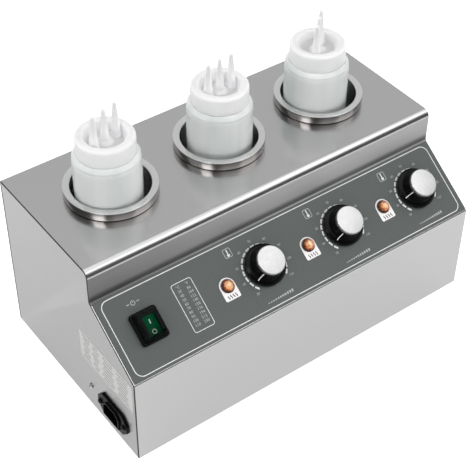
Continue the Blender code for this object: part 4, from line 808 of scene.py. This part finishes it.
def bottleCaps():
    # a skirt, a rounded edge and a dish with a mound in one profile, joined to three nozzles, and
    # bored through them
    c = cap
    floor, top, inner = c["height"] - c["depth"], c["height"], c["radius"] - c["wall"]
    under, mound, ceiling = floor - c["wall"], floor + c["moundHeight"], top - 2 * c["wall"]
    body = turned("cap", [
        (0, mound), (c["mound"] * 0.5, mound), (c["mound"], floor), (c["dishFloor"], floor), (c["dish"], top),
        (c["radius"], top), (c["radius"], 0), (inner, 0), (inner, ceiling), (c["dish"] + c["wall"], ceiling),
        (c["dishFloor"] + c["wall"], under), (0, under),
    ], [0, 0.002, 0.0016, 0.0024, 0.0030, 0.0034, 0.0004, 0.0002, 0.0005, 0.0005, 0.0010, 0], 112, 8)
    tip, foot, flare = top + c["rise"], floor - 0.0005, c["base"] + c["flare"]
    lean = (c["base"] - c["tip"]) / (tip - floor)
    nozzle = turned("nozzle", [
        (0, tip), (c["tip"], tip), (c["base"] - lean * c["flareHeight"], floor + c["flareHeight"]),
        (flare, floor), (flare, foot), (0, foot)], [0, 0.0003, 0.006, 0, 0, 0], 48, 6)
    high, low = tip + 0.001, under - 0.001
    bore = turned("bore", [(0, high), (c["boreTip"], high), (c["boreLow"], low), (0, low)], 0, 32)
    row = [Matrix.Translation((side * c["spacing"], 0, 0)) for side in (-1, 0, 1)]
    nozzles = [("UNION", moved(nozzle, spot)) for spot in row]
    whole = combined(body, *nozzles, ("DIFFERENCE", moved(bore, *row)))
    for n in (1, 2, 3):
        place = standing(f"bottle_{n}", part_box(f"bottle_cap_{n}")[0].z, c["rowTurns"][n - 1])
        finishPiece(f"bottleCap{n}", whole, whitePolythene, "white_polyethylene", f"bottle_cap_{n}", place,
                    40, body=f"cap_body_{n}")


bottles()
bottleCaps()
print("bottles and caps made")


# Control panel: the overlay, and what is printed on it by places along and up the panel

overlay = dict(side=0.0012, end=0.0013, corner=0.0015, low=fitGap, top=0.0011, edge=0.00015)
inkLow = overlay["top"] + 2e-5
inkHigh = inkLow + 4e-5
celsius = [30 + 10 * k for k in range(9)]
printed = dict(
    border=dict(size=(0.3878, 0.0754), middle=(0.0001, 0.0417), radius=0.008, line=0.0008, steps=10),
    legend=dict(size=(0.0221, 0.0488), middle=(-0.11465, 0.0408), radius=0.0025, line=0.0006),
    column=0.00485, firstRow=0.0610, rowPitch=0.00428, legendText=0.0040,
    dialShift=(-0.0004, -0.0011), dashes=17, firstDash=220.6, dashPitch=16.0, dashAngle=12.0,
    dashRadius=0.0224, dashWidth=0.0018, numberRadius=0.0276, numberText=0.0034, firstNumber=226,
    numberPitch=33.25,
)
# a thermometer in a rounded frame, up and left of each dial: its tube and its bulb
gauge = dict(along=-0.0271, up=0.0690, frame=(0.0084, 0.0092), corner=0.0016, line=0.0006,
             tube=(0.0011, 0.0052), tubeUp=0.0010, bulb=0.0015, bulbUp=-0.0022)
# a wedge of bars that grow, under each dial, in place of a word
wedge = dict(bars=11, along=-0.0145, up=0.0094, pitch=0.0028, width=0.0017, height=0.0007, growth=0.00021)
# a power symbol over the switch: a broken ring and a stroke, with a dash at either side
power = dict(middle=(-0.1646, 0.0668), radius=0.0021, arc=(125, 415), line=0.0007, stroke=(0.0007, 0.0026),
             strokeUp=0.0014, dash=(0.0030, 0.0008), dashAlong=0.0052)
# plates behind the lamps, each with four waves for warmth
plate = dict(half=0.0083, below=0.0133, corner=0.0014, lift=1e-5, thickness=0.0001, waveFoot=-0.0121,
             waves=(-0.0042, -0.0014, 0.0014, 0.0042), waveHeight=0.0036, swing=0.0005, line=0.0009)


def controlOverlay():
    # a thin film that covers the slope up to its edges
    o = overlay
    outline = box(housing["width"] - 2 * o["side"], slopeLength - 2 * o["end"], (0, slopeLength / 2))
    film = moulded("overlay", outline, o["corner"], 5, softEdge(o["low"], o["top"], o["edge"]))
    finishPiece("controlOverlayFilm", cutBy(film, controlHoles()), overlayFilm, "printed_overlay",
                "control_overlay", panelPlace, weighted=True)


def slab(corners, radius, steps=2):
    # a thin closed patch of ink
    return moulded("ink", corners, radius, steps, [(0, inkLow), (0, inkHigh)])


def frameLine(size, middle, radius, line, steps=8):
    # a line round a rounded rectangle
    return moulded("line", box(*size, middle), radius, steps,
                   [(0, inkLow), (line, inkLow), (line, inkHigh), (0, inkHigh)], ring=True)


def sectors(middle, radius, width, angles, spread):
    # short arcs of a ring: for each angle a patch from radius - width/2 to radius + width/2, as one
    # mesh of closed blocks worked out for all angles at once
    a = np.radians(np.array(angles)[:, None] + np.linspace(-spread / 2, spread / 2, 5))[..., None]
    r = radius + np.array([-1, 1, 1, -1]) * width / 2
    z = np.broadcast_to([inkLow, inkLow, inkHigh, inkHigh], (len(a), 5, 4))
    points = np.stack([middle[0] + r * np.cos(a), middle[1] + r * np.sin(a), z], -1)
    return joined([gridMesh("dash", one, closeColumns=True, capRows=True) for one in points])


def stroke(path, width):
    # a flat line of even width along a path of (x, y)
    ahead = np.gradient(path, axis=0)
    ahead /= np.linalg.norm(ahead, axis=1, keepdims=True)
    side = np.stack([-ahead[:, 1], ahead[:, 0]], 1) * width / 2
    rows = np.stack([np.insert(path + hand * side, 2, level, 1) for hand, level in (
        (-1, inkLow), (1, inkLow), (1, inkHigh), (-1, inkHigh))], 1)
    return gridMesh("stroke", rows, closeColumns=True, capRows=True)


def words(text, size, x, y):
    # numbers set in Blender's own font, made a thin closed mesh
    data = bpy.data.curves.new("words", "FONT")
    data.body, data.size, data.align_x, data.align_y = str(text), size, "CENTER", "CENTER"
    data.extrude, data.resolution_u = (inkHigh - inkLow) / 2, 2
    writer = bpy.data.objects.new("words", data)
    bpy.context.scene.collection.objects.link(writer)
    mesh = bpy.data.meshes.new_from_object(writer.evaluated_get(bpy.context.evaluated_depsgraph_get()))
    bpy.data.objects.remove(writer)
    mesh.transform(Matrix.Translation((x, y, (inkLow + inkHigh) / 2)))
    return mesh


def printFrames():
    # the border and the legend: the dial's scale in two columns, Celsius and Fahrenheit
    p = printed
    rows = [("°C", "°F"), *[(value, round(value * 1.8 + 32)) for value in celsius]]
    grey = []
    for k, row in enumerate(rows):
        for side, text in zip((-1, 1), row):
            x = p["legend"]["middle"][0] + side * p["column"]
            grey.append(words(text, p["legendText"], x, p["firstRow"] - k * p["rowPitch"]))
    return [frameLine(**p["border"]), frameLine(**p["legend"])], grey


def printDial(x):
    # what stands round one knob: dashes and numbers, the thermometer and the wedge
    p, g, w = printed, gauge, wedge
    mx, my = x + p["dialShift"][0], controls["knob"]["up"] + p["dialShift"][1]
    angles = p["firstDash"] - p["dashPitch"] * np.arange(p["dashes"])
    white = [sectors((mx, my), p["dashRadius"], p["dashWidth"], angles, p["dashAngle"])]
    around = np.radians(p["firstNumber"] - p["numberPitch"] * np.arange(len(celsius)))
    r = p["numberRadius"]
    grey = [words(value, p["numberText"], mx + r * math.cos(a), my + r * math.sin(a))
            for value, a in zip(celsius, around)]
    gx, gy = x + g["along"], g["up"]
    grey.append(frameLine(g["frame"], (gx, gy), g["corner"], g["line"]))
    white.append(slab(box(*g["tube"], (gx, gy + g["tubeUp"])), 0.0005, 4))
    white.append(slab(circle(g["bulb"], 20, (gx, gy + g["bulbUp"])), 0.0001, 1))
    for k in range(w["bars"]):
        tall = w["height"] + w["growth"] * k
        middle = (x + w["along"] + w["pitch"] * k, w["up"] + tall / 2)
        grey.append(slab(box(w["width"], tall, middle), 0.0002))
    return white, grey


def printPower():
    # an arc of a circle with a gap above, the stroke in its gap and the two dashes
    s = power
    x, y = s["middle"]
    a = np.radians(np.linspace(*s["arc"], 28))
    ring = np.stack([x + s["radius"] * np.cos(a), y + s["radius"] * np.sin(a)], 1)
    dashes = [slab(box(*s["dash"], (x + side * s["dashAlong"], y)), 0.0003) for side in (-1, 1)]
    return [stroke(ring, s["line"]), slab(box(*s["stroke"], (x, y + s["strokeUp"])), 0.0002), *dashes]


def printLamp(spot):
    # an outline that is round above and square below, holed for the lamp, and the waves x = swing * sin
    p = plate
    half, below, low = p["half"], p["below"], overlay["top"] + p["lift"]
    foot = roundedPath([(-half, 0), (-half, -below), (half, -below), (half, 0)],
                       [0, p["corner"], p["corner"], 0], 5, closed=False)
    outline = np.vstack([foot[0], circle(half, 64)[1:32]])
    rows = [np.insert(outline, 2, level, 1) for level in (low, low + p["thickness"])]
    sheet = gridMesh("plate", np.array(rows), closeColumns=True, capRows=True)
    t = np.linspace(0, 1, 24)
    waves = [stroke(np.stack([
        offset + p["swing"] * np.sin(2 * np.pi * t), p["waveFoot"] + p["waveHeight"] * t], 1), p["line"])
        for offset in p["waves"]]
    return moved(cutBy(sheet, [punch(controls["lamp"]["hole"])]), spot), moved(joined(waves), spot)


def printPanel():
    # everything of one ink is one piece
    white, grey = printFrames()
    for x in controls["knob"]["along"]:
        for whole, part in zip((white, grey), printDial(x)):
            whole += part
    plates, waves = zip(*[printLamp(spot) for spot in spots["lamp"]])
    for name, meshes, material, lift in (
            ("whitePrint", white, whiteInk, 0), ("greyPrint", grey + printPower(), greyInk, 0),
            ("wavePrint", waves, darkInk, plate["thickness"]), ("lampPlates", plates, tagFilm, 0)):
        finishPiece(name, joined(meshes), material, "printed_overlay", None,
                    panelPlace @ Matrix.Translation((0, 0, lift)))


controlOverlay()
printPanel()
print("control panel printed")


# Knobs

knob = dict(
    base=0.0019, skirt=0.0208, skirtHeight=0.0034, slopeRadius=0.0178, slopeHeight=0.0052, gripLow=0.0168,
    gripTop=0.0147, gripHeight=0.0150, hollow=0.003, hub=0.007, rimWall=0.0022, bore=0.0033, boreTop=0.0138,
    capRadius=0.0142, capSkirt=0.0032, capWall=0.0008, capChamfer=0.0009, turns=(0, 0, -20),
    pointer=214, pointerWidth=0.0008, pointerDepth=0.0004, flutes=30, fluteDepth=0.00022,
)


def knobs():
    # a skirted grip, hollow beneath, its metal disc and its pointer, turned to where they are seen
    k = knob
    base, top, neck = k["base"], k["base"] + k["gripHeight"], k["base"] + k["slopeHeight"]
    less = k["capWall"] + fitGap
    seat, crown = k["capRadius"] - less, top + k["capSkirt"] - less
    roof, skirtTop, inner = base + k["hollow"], base + k["skirtHeight"], k["skirt"] - k["rimWall"]
    corners = [
        (0, crown), (seat, crown), (seat, top), (k["gripTop"], top), (k["gripLow"], neck + 0.0004),
        (k["slopeRadius"], neck), (k["skirt"], skirtTop), (k["skirt"], base), (inner, base),
        (k["slopeRadius"] - k["rimWall"], roof), (k["hub"], roof), (k["hub"], base), (k["bore"], base),
        (k["bore"], k["boreTop"]), (0, k["boreTop"]),
    ]
    radii = [0, 0.0003, 0.0003, 0.0009, 0.0003, 0.0004, 0.0012, 0.0003, 0.0003, 0.0005, 0.0003, 0.0003,
             0.0002, 0.0003, 0]
    grip = turned("knob", corners, radii, 240, 5, flutes=k["flutes"], depth=k["fluteDepth"],
                  fluted=(neck + 0.0008, top - 0.0009))
    low = top + fitGap
    high, rim, inside = low + k["capSkirt"], k["capRadius"], k["capRadius"] - k["capWall"]
    under = high - k["capWall"]
    disc = turned("knobCap", [(0, high), (rim, high), (rim, low), (inside, low), (inside, under), (0, under)],
                  [0, k["capChamfer"], 0.0001, 0.0001, 0.0003, 0], 128, 5)
    # the pointer is a painted line that follows the grip and the skirt, a tenth of a millimetre proud
    line = roundedPath([
        (k["gripTop"] + 0.0001, top - 0.0003), (k["gripLow"] + 0.0002, neck + 0.0003),
        (k["slopeRadius"] + 0.0001, neck + 0.0001), (k["skirt"] - 0.0003, skirtTop - 0.0001),
    ], [0, 0.0004, 0.0004, 0], 4, closed=False)[0]
    wide = np.array([-1, 1, 1, -1]) * k["pointerWidth"] / 2
    deep = np.array([-1, -1, 0, 0]) * k["pointerDepth"]
    points = np.stack([
        line[:, :1] + deep, np.broadcast_to(wide, (len(line), 4)), np.repeat(line[:, 1:], 4, 1)], -1)
    pointer = gridMesh("pointer", points, closeColumns=True, capRows=True)
    pointer.transform(Matrix.Rotation(math.radians(k["pointer"]), 4, "Z"))
    for n, (spot, turn) in enumerate(zip(spots["knob"], k["turns"]), 1):
        place = panelPlace @ spot @ Matrix.Rotation(math.radians(turn), 4, "Z")
        rides = dict(body=f"knob_body_{n}")
        finishPiece(f"knobGrip{n}", grip, blackPhenolic, "black_plastic", f"knob_{n}", place, 40, **rides)
        finishPiece(f"knobDisc{n}", disc, spunAluminium, "spun_aluminium", f"knob_cap_{n}", place, 40, **rides)
        finishPiece(f"knobPointer{n}", pointer, whiteInk, "black_plastic", None, place, **rides)


knobs()
print("knobs made")


# Lamps

lampLook = dict(
    seat=0.0014, flange=0.0068, flangeHeight=0.0012, barrel=0.0049, wall=0.0009, length=0.024, lens=0.0058,
    rim=0.0012, rise=0.0034, plug=0.0036, plugLength=0.004, facets=14,
)


def lamps():
    # a flanged tube through the panel, and a lens that sits on it
    s = lampLook
    top = s["seat"] + s["flangeHeight"]
    bore = s["barrel"] - s["wall"]
    bezel = turned("lampHousing", [
        (bore, top), (bore, -s["length"]), (s["barrel"], -s["length"]), (s["barrel"], s["seat"]),
        (s["flange"], s["seat"]), (s["flange"], top)],
        [0.0003, 0.0001, 0.0001, 0.0001, 0.0002, 0.0007], 72, 5, closed=True)
    # a faceted dome over its plug: rows of (radius, height, turn in facets), from the crown down
    low, plug, lens, rim, rise = top + fitGap, s["plug"], s["lens"], s["rim"], s["rise"]
    rows = np.array([
        (0, rim + rise, 0), (lens * 0.42, rim + rise * 0.90, 0), (lens * 0.80, rim + rise * 0.52, 0.5),
        (lens * 0.985, rim, 0), (lens, 0, 0), (plug, 0, 0), (plug, -s["plugLength"], 0),
        (0, -s["plugLength"], 0)])
    radius, height, turn = (rows[:, i:i + 1] for i in range(3))
    angle = (np.arange(s["facets"]) + turn) * 2 * np.pi / s["facets"]
    points = np.stack([radius * np.cos(angle), radius * np.sin(angle), low + height + 0 * angle], -1)
    dome = tidied(gridMesh("lens", points, closeColumns=True))
    work = bmesh.new()
    work.from_mesh(dome)
    bmesh.ops.triangulate(work, faces=[f for f in work.faces if f.calc_center_median().z > low + rim * 0.9])
    work.to_mesh(dome)
    work.free()
    for n, spot in enumerate(spots["lamp"], 1):
        place = panelPlace @ spot
        finishPiece(f"lampBezel{n}", bezel, brownBezel, "lamp_bezel", f"lamp_housing_{n}", place, 40)
        finishPiece(f"lampLens{n}", dome, amberLens, "amber_lens", f"lamp_lens_{n}", place, 8)


lamps()
print("lamps made")


# Power switch

switch = dict(
    seat=0.0014, flange=(0.0276, 0.0312), flangeHeight=0.0042, corner=0.003, body=(0.0214, 0.0270),
    depth=0.022, well=(0.0176, 0.0242), wellDepth=0.010, rockerWidth=0.0166, rockerLength=0.0226,
    pivot=0.0005, rockerTop=0.0062, rake=8.0, keel=0.0075, endLean=0.0011,
    onMark=(0.001, 0.0042), offMark=0.0022, offLine=0.0006, markLow=-0.0001, markHigh=0.00012,
    markAlong=0.0010, markUp=0.0050, markDown=0.0010,
    lip=0.0012, bootWall=0.0011, bootHeight=0.0078, bootCorner=0.0034, draft=0.0028,
    topBevel=(0.0032, 0.0010),
)


def powerSwitch():
    # a frame with a well, the rocker in it and the clear boot over them
    s = switch
    top = s["seat"] + s["flangeHeight"]
    flange = moulded("flange", box(*s["flange"]), s["corner"], 6, softEdge(s["seat"], top, 0.0009, 0.0003))
    body = moulded("body", box(*s["body"]), 0.0006, 2, [(0, -s["depth"]), (0, s["seat"] + 0.0012)])
    hollow = moulded("well", box(*s["well"]), 0.0006, 3, [(0, -s["wellDepth"]), (0, top + 0.001)])
    place = panelPlace @ spots["switch"][0]
    frameMesh = combined(flange, ("UNION", body), ("DIFFERENCE", hollow))
    finishPiece("switchFrame", frameMesh, blackNylon, "black_plastic", "switch_frame", place, 32, True)
    # the rocker: its side view of two shallow ramps over a keel, across its width, edges rounded
    rake, half, wide = math.radians(s["rake"]), s["rockerLength"] / 2, s["rockerWidth"] / 2
    edge = half - s["endLean"]
    tall = s["rockerTop"] + edge * math.tan(rake)
    outline = [(-half, 0), (0, -s["keel"]), (half, 0), (edge, tall), (0, s["rockerTop"]), (-edge, tall)]
    rocker = moulded("rocker", outline, [0.0012, 0.002, 0.0012, 0.0008, 0.012, 0.0008], 6, [
        (0.0006, -wide), (0, -wide + 0.0006), (0, wide - 0.0006), (0.0006, wide)])
    tipped = place @ Matrix.Translation((0, 0, s["pivot"])) @ Matrix.Rotation(rake, 4, "X")
    finishPiece("switchRocker", rocker, greenRocker, "green_rocker", "switch_rocker", tipped @ sideView,
                32, True, body="rocker_body")
    # marks of one stroke for on and a ring for off, moulded just proud of the two ramps
    low, high, line = s["markLow"], s["markHigh"], s["offLine"]
    on = moulded("mark", box(*s["onMark"]), 0.0003, 3, [(0, low), (0, high)])
    off = moulded("mark", circle(s["offMark"], 40), 0.0001, 1, [
        (0, low), (line, low), (line, high), (0, high)], ring=True)
    for name, mark, side in (("switchMarkOn", on, 1), ("switchMarkOff", off, -1)):
        ramp = tipped @ Matrix.Translation((0, 0, s["rockerTop"])) @ Matrix.Rotation(side * rake, 4, "X")
        spot = Matrix.Translation((s["markAlong"], side * s["markUp"] - s["markDown"], 0))
        finishPiece(name, mark, whiteInk, "green_rocker", None, ramp @ spot, body="rocker_body")
    # the boot: a thin shell drawn in towards its top, whose edges are bevelled and softened
    wall, low, lean, (bevel, drop) = s["bootWall"], top + fitGap, s["draft"], s["topBevel"]
    high, flat = low + s["bootHeight"], lean + bevel
    outer = [(flat, high), (lean, high - drop), (0, low)]
    inner = [(flat, high - wall), (lean + wall, high - drop - wall), (wall, low)]
    outer, inner = (roundedPath(side, [0, soft, 0], 6, closed=False)[0] for side, soft in (
        (outer, 0.0016), (inner, 0.0008)))
    outline = box(s["flange"][0] - 2 * s["lip"], s["flange"][1] - 2 * s["lip"])
    boot = moulded("boot", outline, s["bootCorner"], 8, np.vstack([outer, inner[::-1]]))
    finishPiece("switchBoot", boot, smokedSilicone, "clear_boot", "switch_boot", place, 50, others=[
        (clearSilicone, (0, -0.3, 0.954), 0.95, 0, 1),
        (clearSilicone, (0, 0.3, -0.954), 0.95, low + 0.001, 1)])


powerSwitch()
print("switch made")


# Rating label on the left side: bare film with grey bars where print would be

label = dict(
    front=0.0050, back=0.0940, low=0.0610, high=0.0960, thickness=0.00012, gap=2e-5, lift=1e-5, ink=2e-5,
    rows=8, firstRow=0.0036, rowPitch=0.0040, bar=0.0012, shorter=0.0012,
    columns=((-0.033, 0.014), (-0.017, 0.013), (0.004, 0.021), (0.028, 0.020)),
)


def ratingLabel():
    # a film with rounded corners, and bars a little above it
    b = label
    wide, tall, low = b["back"] - b["front"], b["high"] - b["low"], b["thickness"] + b["lift"]
    place = Matrix.Translation((
        -housing["width"] / 2 - b["gap"], housing["front"] + (b["front"] + b["back"]) / 2,
        housing["foot"] + (b["low"] + b["high"]) / 2)) @ leftSide
    film = moulded("label", box(wide, tall), 0.002, 6, softEdge(0, b["thickness"], 0.00004))
    finishPiece("ratingLabelFilm", film, labelFilm, "brushed_stainless", None, place)
    # four bars in each row, of lengths that run through seven steps
    bars = []
    for row in range(b["rows"]):
        for k, (x, length) in enumerate(b["columns"]):
            length -= b["shorter"] * ((row * 3 + k * 5) % 7)
            outline = box(length, b["bar"], (x, tall / 2 - b["firstRow"] - b["rowPitch"] * row))
            bars.append(moulded("bar", outline, 0.0003, 2, [(0, low), (0, low + b["ink"])]))
    finishPiece("ratingLabelBars", joined(bars), labelGreyInk, "brushed_stainless", None, place)


# Feet

foot = dict(height=0.0062, radius=0.009, taper=0.0015, edge=0.001, stud=0.0028, barb=0.0018, dimple=0.0030)


def feet():
    # a tapered pad with a dimpled sole under a stud that widens to a barb
    f = foot
    stud, pad, barb = f["stud"], f["height"], f["height"] + f["barb"]
    for n in (1, 2, 3, 4):
        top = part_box(f"rubber_foot_{n}")[1].z
        rubber = turned("foot", [
            (0, top), (stud * 0.6, top), (stud * 1.25, barb), (stud * 0.9, barb), (stud * 0.9, pad),
            (f["radius"], pad), (f["radius"] - f["taper"], 0), (f["dimple"], 0),
            (f["dimple"] * 0.8, 0.0008), (0, 0.0008),
        ], [0, 0.0003, 0.0002, 0, 0, 0.0005, f["edge"], 0.0002, 0.0002, 0], 64, 4)
        finishPiece(f"rubberFoot{n}", rubber, blackRubber, "black_rubber", f"rubber_foot_{n}",
                    standing(f"rubber_foot_{n}", 0), 40)


ratingLabel()
feet()
print("label and feet made")


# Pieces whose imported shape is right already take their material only

carried = {
    "base_plate": millSteel, "base_screw": platedZinc, "band_heater": heaterSteel,
    "thermostat_shaft": platedZinc, "thermostat": brownPhenolic, "inlet_pin": platedZinc,
    "earth_nut": platedZinc, "terminal_block": whiteUrea,
}
for name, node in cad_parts.items():
    start = [key for key in sorted(carried, key=len, reverse=True) if name.startswith(key)]
    if start:
        for holder in node.material_slots:
            holder.material = carried[start[0]]
print("carried pieces finished")
